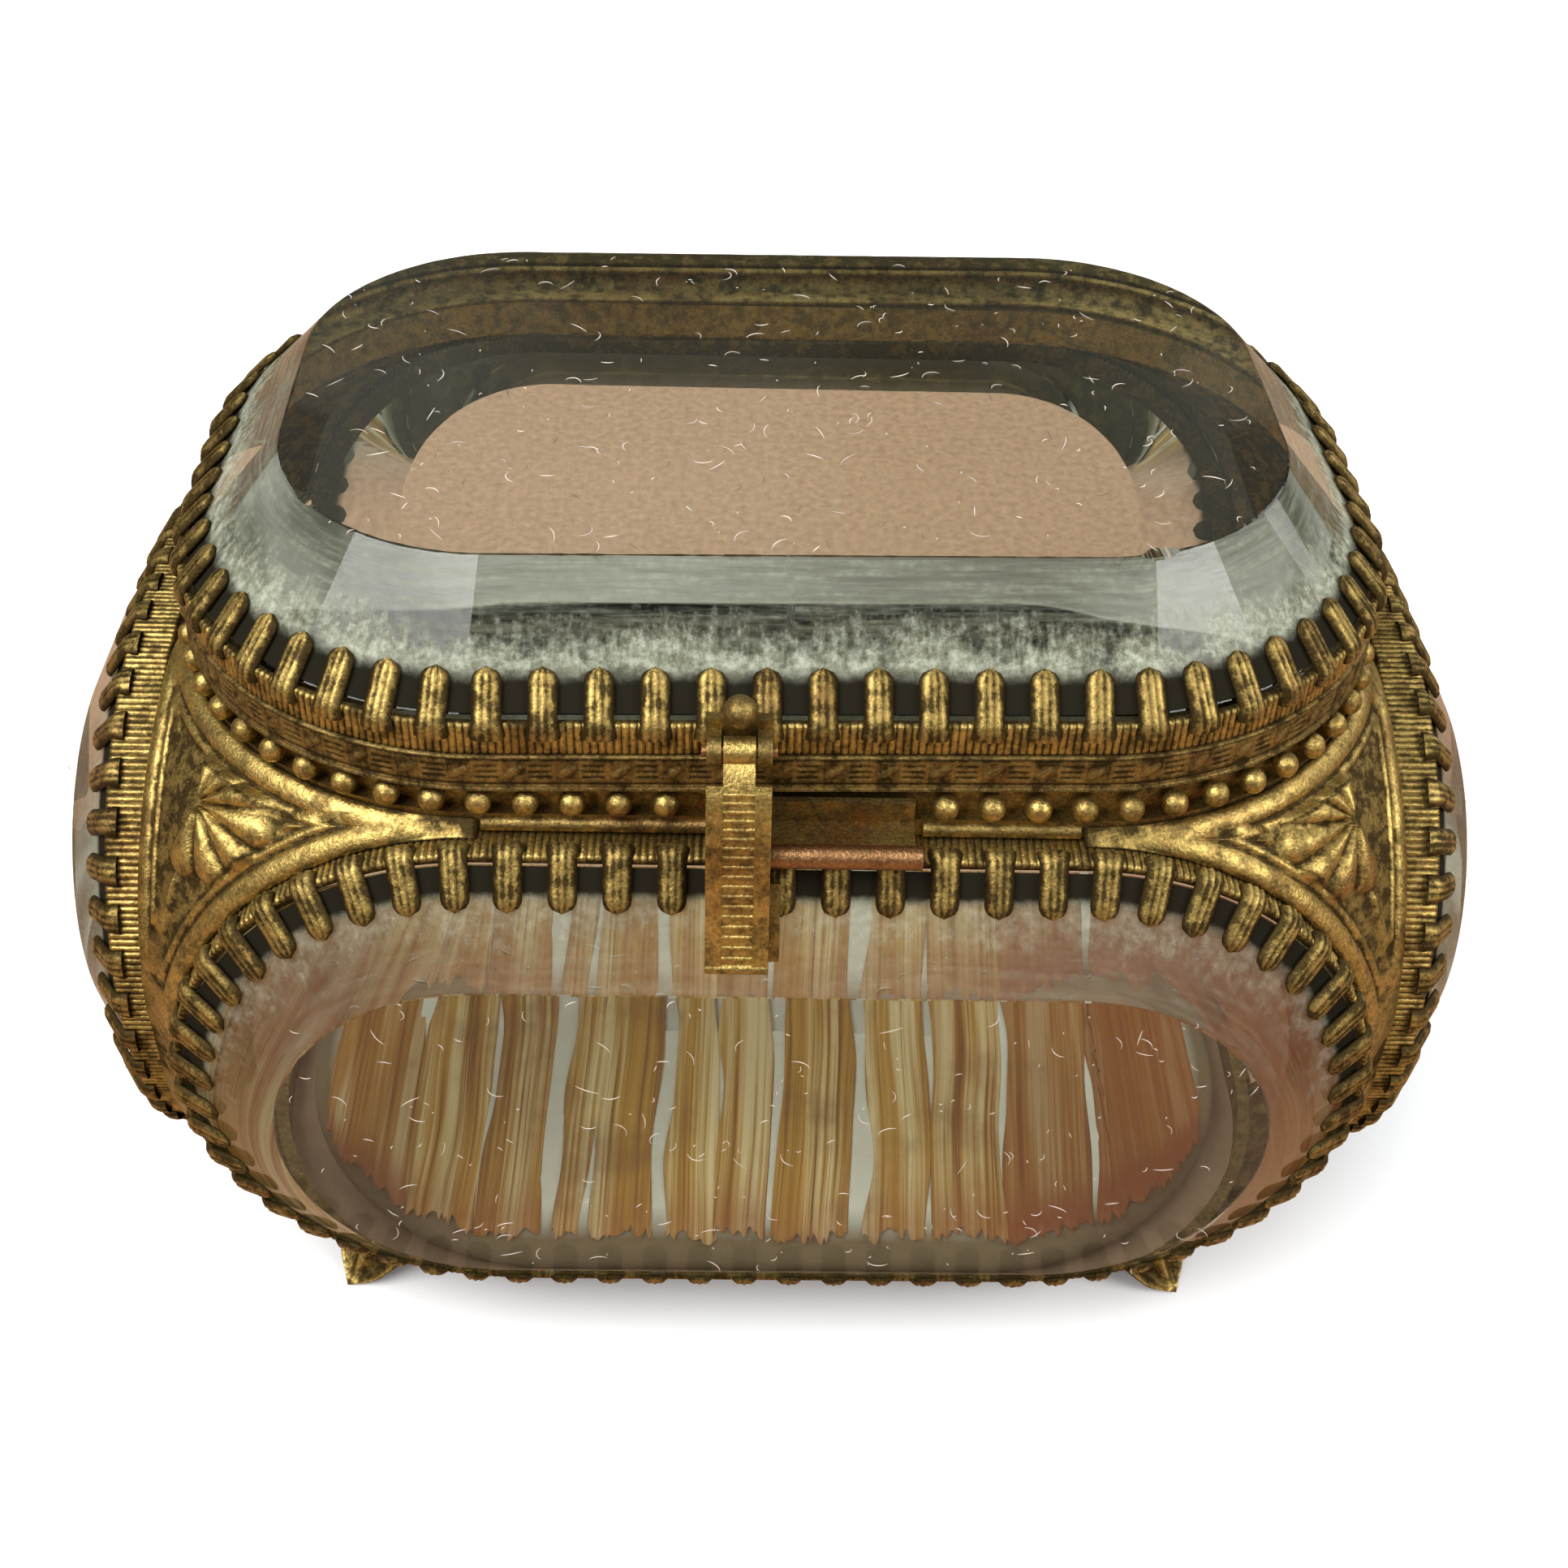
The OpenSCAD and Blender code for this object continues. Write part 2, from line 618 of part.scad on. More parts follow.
// The catch: a bracket on the rim with a tongue, and the bar along the tongue's edge
module catch_plate() {
    y0 = -ring_d / 2;
    wall = 0.5;
    inset = 0.4;
    tongue = y0 - catch_y - catch_r - seat;
    plate_l = catch_x1 - catch_x0 - 2 * inset;
    color(old_gold) translate([catch_x0 + inset, y0, catch_z - sheet_t / 2]) {
        translate([0, -wall, 0]) cube([plate_l, wall, rim_z - catch_z]);
        translate([0, -tongue, 0]) cube([plate_l, tongue, sheet_t]);
    }
}
module catch_bar() {
    color(copper) translate([catch_x0, catch_y, catch_z]) rotate([0, 90, 0]) {
        cylinder(r = catch_r, h = catch_x1 - catch_x0);
    }
}

// Height of the cushion's top
function pad_top(x, y) = pad_z + pad_edge_h + pad_crown
    * cos(90 * min(1, abs(x) / (pad_l / 2))) * cos(90 * min(1, abs(y) / (pad_d / 2)));

// The cushion: closed rings of points from its flat underside, round its edge, to its crown
module cushion_pad() {
    around = 40;
    in = [20, 6, 1.6, 0.4, 0, 0.5, 2, 5, 9, 14, 20];
    level = [0, 0, 0, 0.25, 0.6, 0.88, 1, 1, 1, 1, 1];
    rows = len(in);
    function ring(i) = [for (k = [0 : around - 1])
        let (l = pad_l - 2 * in[i], d = pad_d - 2 * in[i], r = max(pad_r - in[i], 0.5),
            p = oblong_spot(l, d, r, k * oblong_length(l, d, r) / around))
        [p[0], p[1], pad_z + level[i] * (pad_top(p[0], p[1]) - pad_z)]];
    points = concat([for (i = [0 : rows - 1]) each ring(i)], [[0, 0, pad_z], [0, 0, pad_top(0, 0)]]);
    walls = [for (i = [0 : rows - 2]) for (k = [0 : around - 1])
        let (n = (k + 1) % around, a = i * around + k, b = i * around + n,
            c = (i + 1) * around + n, d = (i + 1) * around + k)
        each [[a, c, b], [a, d, c]]];
    last = (rows - 1) * around;
    caps = [for (k = [0 : around - 1])
        let (n = (k + 1) % around, low = rows * around)
        each [[k, n, low], [last + n, last + k, low + 1]]];
    color([0.93, 0.9, 0.84]) polyhedron(points, concat(walls, caps));
}

// One strip of the split silk, from x0 to x1 at the front, shifted by slant at the back
module silk_strip(x0, x1, slant) {
    across = 2;
    along = 9;
    reach = pad_d / 2 - 3;
    under = [for (j = [0 : along]) for (i = [0 : across])
        let (v = j / along, y = reach * (2 * v - 1), x = x0 + (x1 - x0) * i / across + slant * v)
        [x, y, pad_top(x, y) + soft]];
    n = len(under);
    w = across + 1;
    over = [for (p = under) p + [0, 0, silk_t]];
    quads = [for (j = [0 : along - 1]) for (i = [0 : across - 1])
        let (a = j * w + i) each [[a, a + 1, a + w + 1], [a, a + w + 1, a + w]]];
    edge = concat([for (i = [0 : across]) i], [for (j = [1 : along]) j * w + across],
        [for (i = [across - 1 : -1 : 0]) along * w + i], [for (j = [along - 1 : -1 : 1]) j * w]);
    sides = [for (k = [0 : len(edge) - 1]) let (a = edge[k], b = edge[(k + 1) % len(edge)])
        each [[a, b + n, b], [a, a + n, b + n]]];
    upper_quads = [for (f = quads) [f[0] + n, f[2] + n, f[1] + n]];
    polyhedron(concat(under, over), concat(quads, upper_quads, sides));
}

// The gold silk over the cushion, split along its threads into strips
module silk_cover() {
    span = pad_l - 2 * pad_r + 8;
    pitch = span / silk_strips;
    slant = 2.4;
    color([0.8, 0.55, 0.2]) for (i = [0 : silk_strips - 1]) {
        x0 = -span / 2 + i * pitch;
        width = pitch * (0.72 + 0.2 * cos(i * 140));
        silk_strip(x0, x0 + width, slant * (i / silk_strips - 0.5));
    }
}

lid_frame();
lid_collet();
lid_glass();
front_glass();
back_glass();
left_glass();
right_glass();
front_collet();
back_collet();
left_collet();
right_collet();
top_rim();
bead_row();
base_ring();
base_plate();
upper(1, 0);  // corner_upper_front_left
upper(0, 0);  // corner_upper_front_right
upper(1, 1);  // corner_upper_back_left
upper(0, 1);  // corner_upper_back_right
lower(1, 0);  // corner_lower_front_left
lower(0, 0);  // corner_lower_front_right
lower(1, 1);  // corner_lower_back_left
lower(0, 1);  // corner_lower_back_right
foot_at(1, 0);  // foot_front_left
foot_at(0, 0);  // foot_front_right
foot_at(1, 1);  // foot_back_left
foot_at(0, 1);  // foot_back_right
hinge_leaf_lid();
hinge_leaf_body();
hinge_pin();
clasp_lug();
clasp_pin();
clasp_strap();
clasp_spring();
catch_plate();
catch_bar();
cushion_pad();
silk_cover();
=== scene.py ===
"""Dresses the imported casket: clawed collets, chased band, stamped corners, glass, silk and stage.

Sizes are in millimetres until a mesh is made, where they become metres. Each glass has its own
frame: x along it, y up or back, z out of it. Outlines are oblongs with round corners, and "out"
is the distance outwards from such an outline, negative further in.
"""

import math

import bmesh
import bpy
import numpy as np
from bpy.props import FloatProperty, FloatVectorProperty, IntProperty, PointerProperty
from bpy.types import NodeSocket, Operator, Panel, PropertyGroup
from mathutils import Matrix, Vector


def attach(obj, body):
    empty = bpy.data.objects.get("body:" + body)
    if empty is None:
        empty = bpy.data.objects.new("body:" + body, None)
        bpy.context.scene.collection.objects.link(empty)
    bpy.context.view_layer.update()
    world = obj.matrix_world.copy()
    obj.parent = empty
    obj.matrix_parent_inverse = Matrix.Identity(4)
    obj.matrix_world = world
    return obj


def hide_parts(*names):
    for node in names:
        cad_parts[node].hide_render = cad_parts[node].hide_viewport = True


bl_info = {
    "name": "Bevelled glass casket",
    "version": (1, 0, 0),
    "blender": (4, 5, 0),
    "location": "View3D > Sidebar > Casket",
    "description": "Dresses a small casket of bevelled glass, gilt brass and silk",
    "category": "Add Mesh",
}

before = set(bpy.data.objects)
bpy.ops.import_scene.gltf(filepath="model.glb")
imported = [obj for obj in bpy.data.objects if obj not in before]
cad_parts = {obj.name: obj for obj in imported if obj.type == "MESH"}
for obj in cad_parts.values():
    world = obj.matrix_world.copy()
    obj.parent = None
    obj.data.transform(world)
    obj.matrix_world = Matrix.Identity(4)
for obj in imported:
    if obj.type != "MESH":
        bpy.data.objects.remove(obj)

MM = 0.001
SIDES = ("lid", "front", "back", "left", "right")


def length_mm(name, value, about):
    """A size in millimetres for a property group."""
    return FloatProperty(name=name, default=value, min=0.01, description=about + ", in millimetres")


def tint(name, value, about):
    """A colour for a property group."""
    return FloatVectorProperty(
        name=name, default=value, size=3, min=0, max=1, subtype="COLOR", description=about
    )


class CasketSizes(PropertyGroup):
    """Sizes of the casket's pieces"""

    ring_l: length_mm("Lid length", 89.2, "Length of the lid and the rim")
    ring_d: length_mm("Lid depth", 60.4, "Depth of the lid and the rim")
    ring_r: length_mm("Lid corner", 24.0, "Corner radius of the lid and the rim")
    askew: FloatProperty(name="Askew", default=1.2, description="Turn of the lid, in degrees")
    front_l: length_mm("Front length", 89.8, "Length of the front and back glasses")
    end_d: length_mm("End depth", 56.8, "Depth of the end glasses")
    panel_h: length_mm("Panel height", 48.2, "Height of the side glasses")
    panel_z: length_mm("Panel middle", 33.0, "Height of the side glasses' middle")
    root_depth: length_mm("Root depth", 66.0, "Distance between front and back claw roots")
    root_length: length_mm("Root length", 100.0, "Distance between the ends' claw roots")
    foot_h: length_mm("Foot height", 5.2, "Height of the feet")
    rim_z: length_mm("Rim height", 60.8, "Height of the rim's top edge")
    collet_z: length_mm("Lid collet", 64.1, "Height of the lid's collet")
    band_h: length_mm("Band height", 3.2, "Height of the lid's chased band")
    bevel_w: length_mm("Bevel", 8.3, "Width of the ground bevel")
    wall_t: length_mm("Wall", 0.7, "Thickness of a collet's wall")
    ledge_w: length_mm("Ledge", 1.9, "Width of a collet's inner ledge")
    claw_w: length_mm("Claw width", 2.0, "Width of a claw")
    claw_l: length_mm("Claw length", 4.2, "Length of a claw")
    claw_t: length_mm("Claw thickness", 0.5, "Thickness of a claw")
    claw_pitch: length_mm("Claw spacing", 3.7, "Spacing of the claws")
    rib_pitch: length_mm("Rib spacing", 0.52, "Spacing of the ribs on a collet's wall")
    rib_depth: length_mm("Rib depth", 0.17, "Depth of the grooves between the ribs")
    bead_r: length_mm("Bead radius", 0.95, "Radius of the beads round the rim")
    bead_pitch: length_mm("Bead spacing", 3.2, "Spacing of the beads")
    ball_r: length_mm("Corner ball", 34.76, "Radius of the ball that the corners lie on")
    petals: IntProperty(name="Petals", default=7, description="Petals in a corner's fan")
    pad_l: length_mm("Cushion length", 83.0, "Length of the cushion")
    pad_d: length_mm("Cushion depth", 54.2, "Depth of the cushion")


class CasketFinish(PropertyGroup):
    """Colours of the casket's finishes"""

    gold: tint("Gilding", (0.58, 0.41, 0.13), "Colour of clean gilding")
    old_gold: tint("Dull gilding", (0.36, 0.25, 0.085), "Colour of dull gilding")
    copper: tint("Bare metal", (0.42, 0.22, 0.10), "Colour of bare coppery metal")
    patina: tint("Patina", (0.045, 0.03, 0.012), "Colour of the dark in the recesses")
    rust: tint("Wear", (0.20, 0.085, 0.03), "Colour of the reddish-brown wear")
    residue: tint("Residue", (0.5, 0.52, 0.41), "Colour of dried polish on the glass")
    silk: tint("Silk", (0.62, 0.31, 0.05), "Colour of the silk")
    table: tint("Table", (0.36, 0.225, 0.14), "Colour of the table as seen through the glass")


def sizes():
    """The scene's sizes."""
    return bpy.context.scene.casket_sizes


def finish():
    """The scene's colours."""
    return bpy.context.scene.casket_finish


# Outlines and surfaces


def oblong_length(length, depth, corner):
    """Distance round an oblong: four straight lines and a full circle."""
    return 2 * (length - 2 * corner) + 2 * (depth - 2 * corner) + 2 * math.pi * corner


def oblong_path(length, depth, corner, count):
    """Evenly spaced points round an oblong, anticlockwise from the middle of its -Y side.

    A distance s along it falls in one of nine stretches, by turns straight and round. Every point
    is a stretch's centre + corner * normal, and on a straight one + the way gone along it. The
    normal turns by s / corner on a round one. Returns places, normals (n, 2) and distances (n,).
    """
    a, b = length / 2 - corner, depth / 2 - corner
    q = math.pi * corner / 2
    lengths = np.array([a, q, 2 * b, q, 2 * a, q, 2 * b, q, a])
    ends = np.cumsum(lengths)
    s = np.arange(count) * ends[-1] / count
    k = np.minimum(np.searchsorted(ends, s, side="right"), 8)
    along = s - (ends - lengths)[k]
    round_one = k % 2 == 1
    turn = np.radians([-90, -90, 0, 0, 90, 90, 180, 180, 270])[k]
    turn = turn + np.where(round_one, along / corner, 0)
    centre = np.array(
        [(0, -b), (a, -b), (a, -b), (a, b), (a, b), (-a, b), (-a, b), (-a, -b), (-a, -b)]
    )[k]
    normal = joined(np.cos(turn), np.sin(turn))
    tangent = joined(-np.sin(turn), np.cos(turn))
    way = np.where(round_one, 0, along)[:, None]
    return centre + corner * normal + way * tangent, normal, s


def sweep(path, profile, relief=None):
    """Carries a profile of (out, height) points round a path: place + normal * out, at height.

    Relief, if given, is added to out, one value for each place and profile point.
    """
    place, normal = path[:2]
    out = np.broadcast_to(profile[:, 0], (len(place), len(profile)))
    if relief is not None:
        out = out + relief
    flat = place[:, None, :] + normal[:, None, :] * out[..., None]
    height = np.broadcast_to(profile[:, 1], out.shape)
    return np.concatenate([flat, height[..., None]], axis=-1)


def turned(points, degrees):
    """Points turned about the Z axis."""
    c, s = math.cos(math.radians(degrees)), math.sin(math.radians(degrees))
    return points @ np.array([[c, s, 0], [-s, c, 0], [0, 0, 1.0]])


def carry(points, side):
    """Points in a glass's own frame, carried to that side of the casket."""
    z = sizes()
    if side == "lid":
        return turned(points + (0, 0, z.collet_z), z.askew)
    upright = joined(points[..., 0], -points[..., 2], points[..., 1])
    reach = (z.root_depth if side in ("front", "back") else z.root_length) / 2
    upright = upright + (0, pane(side)["wall"] - reach, z.panel_z)
    return turned(upright, {"front": 0, "right": 90, "back": 180, "left": 270}[side])


def pane(side):
    """A side's outline, wall height, rise of its facet, drop of its claws and slope of its bevel."""
    z = sizes()
    if side == "lid":
        outline, wall, rise = (z.ring_l, z.ring_d, z.ring_r), 2.7, 7.7
    else:
        length = z.front_l if side in ("front", "back") else z.end_d
        outline, wall, rise = (length, z.panel_h, z.panel_h / 2), 3.6, 4.9
    drop = 1.2 * z.claw_t
    slope = math.atan((rise + drop + 0.1) / z.bevel_w)
    return {"outline": outline, "wall": wall, "rise": rise, "drop": drop, "slope": slope}


def noise_1d(s, seed, step):
    """Smooth noise from -1 to 1 along s: seeded values every step, joined by cosines."""
    values = np.random.default_rng(seed).uniform(-1, 1, 997)
    cell = np.floor(s / step).astype(int)
    t = (1 - np.cos(np.pi * (s / step - cell))) / 2
    return values[cell % 997] * (1 - t) + values[(cell + 1) % 997] * t


def joined(*parts):
    """Coordinates, each an array or a number, joined into points."""
    return np.stack(np.broadcast_arrays(*parts), axis=-1)


def smooth(value, low, high):
    """0 below low, 1 above high, and a smooth step between."""
    t = np.clip((value - low) / (high - low), 0, 1)
    return t * t * (3 - 2 * t)


def quad_faces(copies, n, m, wrap_n, wrap_m):
    """Corner numbers of the four-sided faces between neighbours on copies of an n by m grid."""
    i = np.arange(n if wrap_n else n - 1)[:, None]
    j = np.arange(m if wrap_m else m - 1)[None, :]
    near, far, right = i * m, (i + 1) % n * m, (j + 1) % m
    faces = np.stack([near + j, far + j, far + right, near + right], axis=-1).reshape(-1, 4)
    return (np.arange(copies)[:, None, None] * n * m + faces).reshape(-1, 4)


def grid(points, wrap=(True, True), caps=False, hollow=0.0, uv=(0.0, 0.0), solid=True):
    """One surface of a piece: points (n, m, 3) or copies of them, how they close, and marks.

    Caps close the first and last profile rows with flat faces. A solid's faces are turned
    outwards by the sign of its volume.
    """
    points = points if points.ndim == 4 else points[None]
    copies, n, m = points.shape[:3]
    flat = points.reshape(-1, 3)
    faces = quad_faces(copies, n, m, *wrap)
    a, b, c, d = (flat[faces[:, k]] for k in range(4))
    volume = np.sum(a * np.cross(b, c)) + np.sum(a * np.cross(c, d))
    ends = [np.arange(n)[::-1] * m, np.arange(n) * m + m - 1] if caps else []
    for end in ends:
        fan = flat[end]
        volume += np.sum(fan[0] * np.cross(fan[1:-1], fan[2:]))
    if solid and volume < 0:
        faces, ends = faces[:, ::-1], [end[::-1] for end in ends]
    marks = np.broadcast_to(hollow, (copies, n, m)).ravel()
    uvs = np.broadcast_to(uv, (copies, n, m, 2)).reshape(-1, 2)
    return flat, faces, ends, marks, uvs


def make_piece(name, grids, finish_name, body, stands_for=(), sharp=None, weld=False):
    """Joins grids, in millimetres, into one mesh object, finishes it and seats it in the frame."""
    shift = np.cumsum([0] + [len(g[0]) for g in grids])
    corners = [g[1] + at for g, at in zip(grids, shift)]
    ends = [end + at for g, at in zip(grids, shift) for end in g[2]]
    loops = np.concatenate([c.ravel() for c in corners] + ends)
    counts = np.concatenate([np.full(len(c), 4) for c in corners] + [[len(end)] for end in ends])
    marks = np.concatenate([g[3] for g in grids])
    uvs = np.concatenate([g[4] for g in grids])
    mesh = bpy.data.meshes.new(name)
    mesh.vertices.add(shift[-1])
    mesh.vertices.foreach_set("co", (np.concatenate([g[0] for g in grids]) * MM).ravel())
    mesh.loops.add(len(loops))
    mesh.loops.foreach_set("vertex_index", loops.astype(np.int32))
    mesh.polygons.add(len(counts))
    mesh.polygons.foreach_set("loop_start", (np.cumsum(counts) - counts).astype(np.int32))
    mesh.update(calc_edges=True)
    mesh.validate()
    mesh.attributes.new("hollow", "FLOAT", "POINT").data.foreach_set("value", marks.astype(np.float32))
    if uvs.any():
        layer = mesh.uv_layers.new(name="UVMap")
        layer.uv.foreach_set("vector", uvs[loops].astype(np.float32).ravel())
    if weld:
        bm = bmesh.new()
        bm.from_mesh(mesh)
        bmesh.ops.remove_doubles(bm, verts=bm.verts, dist=1e-7)
        bm.to_mesh(mesh)
        bm.free()
    mesh.shade_smooth()
    if sharp is not None:
        mesh.set_sharp_from_angle(angle=math.radians(sharp))
    mesh.materials.append(material(finish_name))
    piece = bpy.data.objects.new(name, mesh)
    bpy.context.scene.collection.objects.link(piece)
    if stands_for:
        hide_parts(*stands_for)
    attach(piece, body)
    return piece


# Node helpers and materials


def add(tree, kind, settings=None, **sockets):
    """Adds a node. Settings are its own properties, and sockets hold a value or an output."""
    made = tree.nodes.new(kind)
    for key, value in (settings or {}).items():
        setattr(made, key, value)
    for key, value in sockets.items():
        name = key.replace("_", " ")
        socket = made.inputs[int(key[1:])] if key[0] == "i" and key[1:].isdigit() else made.inputs[name]
        if isinstance(value, NodeSocket):
            tree.links.new(value, socket)
        else:
            socket.default_value = value
    return made


def calc(tree, operation, a, b=0.0, clamp=False):
    """A Math node's output."""
    settings = {"operation": operation, "use_clamp": clamp}
    return add(tree, "ShaderNodeMath", settings, i0=a, i1=b).outputs[0]


def times(tree, a, b):
    """Two values multiplied."""
    return calc(tree, "MULTIPLY", a, b)


def mixed(tree, factor, a, b, blend="MIX"):
    """Colour a turned into colour b by a factor."""
    settings = {"data_type": "RGBA", "blend_type": blend}
    return add(tree, "ShaderNodeMix", settings, i0=factor, i6=a, i7=b).outputs[2]


def stepped(tree, value, low, high):
    """0 where value is below low, 1 above high, smooth between."""
    settings = {"interpolation_type": "SMOOTHSTEP"}
    return add(
        tree, "ShaderNodeMapRange", settings, Value=value, From_Min=low, From_Max=high
    ).outputs[0]


def noise(tree, vector, scale, detail=4.0, rough=0.6, stretch=None):
    """Fractal noise on a vector, with as many cells to the metre as scale says."""
    if stretch is not None:
        vector = add(
            tree, "ShaderNodeMapping", {"vector_type": "POINT"}, Vector=vector, Scale=stretch
        ).outputs[0]
    return add(
        tree, "ShaderNodeTexNoise", Vector=vector, Scale=scale, Detail=detail, Roughness=rough
    ).outputs[0]


def places(tree, kind="Object"):
    """The piece's own coordinates, or another kind of texture coordinates."""
    return add(tree, "ShaderNodeTexCoord").outputs[kind]


def marked(tree):
    """The mark that each mesh holds for its points, mostly how deep in a hollow they lie."""
    return add(tree, "ShaderNodeAttribute", {"attribute_name": "hollow"}).outputs["Fac"]


def bumped(tree, height, strength, depth):
    """The normal over a height pattern, with a depth in millimetres."""
    return add(
        tree, "ShaderNodeBump", Strength=strength, Distance=depth * MM, Height=height
    ).outputs[0]


def colour(value):
    """A colour property as red, green, blue and alpha."""
    return (*value, 1.0)


def aged_metal_group():
    """Group for all the brass: gilding darkened in hollows and stains, browned, and grained."""
    if "Aged metal" in bpy.data.node_groups:
        return bpy.data.node_groups["Aged metal"]
    group = bpy.data.node_groups.new("Aged metal", "ShaderNodeTree")
    face = group.interface
    for name in ("Gilding", "Patina", "Wear"):
        face.new_socket(name, in_out="INPUT", socket_type="NodeSocketColor")
    for name in ("Hollow", "Age", "Shine"):
        face.new_socket(name, in_out="INPUT", socket_type="NodeSocketFloat")
    face.new_socket("Color", in_out="OUTPUT", socket_type="NodeSocketColor")
    for name in ("Roughness", "Height"):
        face.new_socket(name, in_out="OUTPUT", socket_type="NodeSocketFloat")
    given = group.nodes.new("NodeGroupInput").outputs
    put = group.nodes.new("NodeGroupOutput").inputs
    place = places(group)
    broad = noise(group, place, 160, 5, 0.65)
    spots = noise(group, place, 800, 5, 0.7)
    grain = noise(group, place, 4200, 3, 0.6)
    stain = times(group, stepped(group, spots, 0.4, 0.66), given["Age"])
    dark = calc(group, "ADD", stain, given["Hollow"], clamp=True)
    brown = times(group, stepped(group, broad, 0.5, 0.68), given["Age"])
    tone = mixed(group, times(group, brown, 0.75), given["Gilding"], given["Wear"])
    tone = mixed(group, times(group, dark, 0.94), tone, given["Patina"])
    glint = calc(group, "ADD", times(group, grain, 1.5), 0.15)
    tone = mixed(group, 1.0, tone, glint, "MULTIPLY")
    group.links.new(tone, put["Color"])
    rough = calc(group, "ADD", given["Shine"], times(group, dark, 0.28))
    rough = calc(group, "ADD", rough, times(group, grain, 0.14), clamp=True)
    group.links.new(rough, put["Roughness"])
    height = calc(group, "ADD", times(group, spots, 0.7), grain)
    group.links.new(height, put["Height"])
    return group


def new_material(name):
    """A new material's empty tree, and its output's surface socket."""
    made = bpy.data.materials.new(name)
    made.use_nodes = True
    made.node_tree.nodes.clear()
    end = made.node_tree.nodes.new("ShaderNodeOutputMaterial")
    return made.node_tree, end.inputs["Surface"]


def surfaced(tree, surface, **sockets):
    """Ends a material with a Principled shader, and returns its output."""
    shader = add(tree, "ShaderNodeBsdfPrincipled", **sockets).outputs[0]
    tree.links.new(shader, surface)
    return shader


def metal(tree, surface, gilding, age, shine):
    """Brass with a given gilding, share of stains and wear, and roughness."""
    group = add(tree, "ShaderNodeGroup", {"node_tree": aged_metal_group()})
    values = {
        "Gilding": colour(gilding), "Patina": colour(finish().patina),
        "Wear": colour(finish().rust), "Age": age, "Shine": shine,
    }
    for key, value in values.items():
        group.inputs[key].default_value = value
    tree.links.new(marked(tree), group.inputs["Hollow"])
    surfaced(
        tree, surface, Base_Color=group.outputs["Color"], Metallic=1.0,
        Roughness=group.outputs["Roughness"],
        Normal=bumped(tree, group.outputs["Height"], 0.5, 0.12),
    )


def gilt_brass(tree, surface):
    """The gilding of collets, corners, beads, feet and strap, stained and browned."""
    metal(tree, surface, finish().gold, 0.75, 0.3)


def worn_brass(tree, surface):
    """The duller gilding of the band, the rim and the small fittings."""
    metal(tree, surface, finish().old_gold, 0.75, 0.36)


def coppery_brass(tree, surface):
    """The bare metal of the clasp's pin and the catch's rod."""
    metal(tree, surface, finish().copper, 0.35, 0.3)


def bevelled_glass(tree, surface):
    """Thick clear glass. Lamps' rays and soft light go straight through it to what is inside."""
    haze = stepped(tree, noise(tree, places(tree), 90, 4, 0.6), 0.45, 0.75)
    rough = times(tree, haze, 0.03)
    shader = surfaced(
        tree, surface, Base_Color=(0.93, 0.965, 0.945, 1), Roughness=rough, IOR=1.45,
        Transmission_Weight=1.0,
    )
    clear = add(tree, "ShaderNodeBsdfTransparent", Color=(0.66, 0.69, 0.66, 1))
    path = add(tree, "ShaderNodeLightPath").outputs
    soft = calc(tree, "MAXIMUM", path["Is Shadow Ray"], path["Is Diffuse Ray"])
    both = add(tree, "ShaderNodeMixShader", i0=soft, i1=shader, i2=clear.outputs[0])
    tree.links.new(both.outputs[0], surface)


def polish_dirt_and_shade(tree, surface):
    """Polish dried on the bevels, with dirt, and a near-black band at the claws' roots that is dirt and
    painted shade. The map's v runs from 0 at the claws' roots to 1.
    """
    place, chart = places(tree), places(tree, "UV")
    v = add(tree, "ShaderNodeSeparateXYZ", Vector=chart).outputs[1]
    cloud = noise(tree, place, 260, 7, 0.72)
    fine = noise(tree, place, 1500, 5, 0.7)
    streaks = noise(tree, chart, 1.0, 4, 0.7, stretch=(90, 14, 1))
    drags = noise(tree, chart, 1.0, 4, 0.7, stretch=(1300, 3, 1))
    both = calc(tree, "ADD", times(tree, cloud, 0.5), times(tree, fine, 0.2))
    both = calc(tree, "ADD", both, times(tree, drags, 0.4))
    reach = calc(tree, "SUBTRACT", both, times(tree, v, 0.6))
    alpha = times(tree, stepped(tree, reach, 0.1, 0.45), 0.8)
    streaked = times(tree, stepped(tree, streaks, 0.35, 0.7), 0.3)
    alpha = calc(tree, "MAXIMUM", alpha, streaked)
    # Painted shade with dirt: a near-black band along the claws' roots, standing in for the shade in
    # the gaps between the claws.
    ragged = calc(tree, "ADD", v, times(tree, cloud, 0.14))
    grime_and_shade = calc(tree, "SUBTRACT", 1.0, stepped(tree, ragged, 0.26, 0.4))
    amount = marked(tree)
    dense = times(tree, grime_and_shade, stepped(tree, amount, 0.0, 0.35))
    alpha = calc(tree, "MAXIMUM", times(tree, alpha, amount), dense)
    clear_of, residue = (0.25, 0.26, 0.18, 1), colour(finish().residue)
    pale = mixed(tree, stepped(tree, fine, 0.35, 0.7), clear_of, residue)
    tone = mixed(tree, grime_and_shade, pale, (0.012, 0.01, 0.005, 1))
    surfaced(
        tree, surface, Base_Color=tone, Roughness=0.85, Specular_IOR_Level=0.1, Alpha=alpha
    )


def lint(tree, surface):
    """Pale hairs and specks on the glass."""
    cloud = noise(tree, places(tree), 300)
    tone = mixed(tree, cloud, (0.55, 0.42, 0.32, 1), (0.95, 0.9, 0.82, 1))
    surfaced(tree, surface, Base_Color=tone, Roughness=0.8)


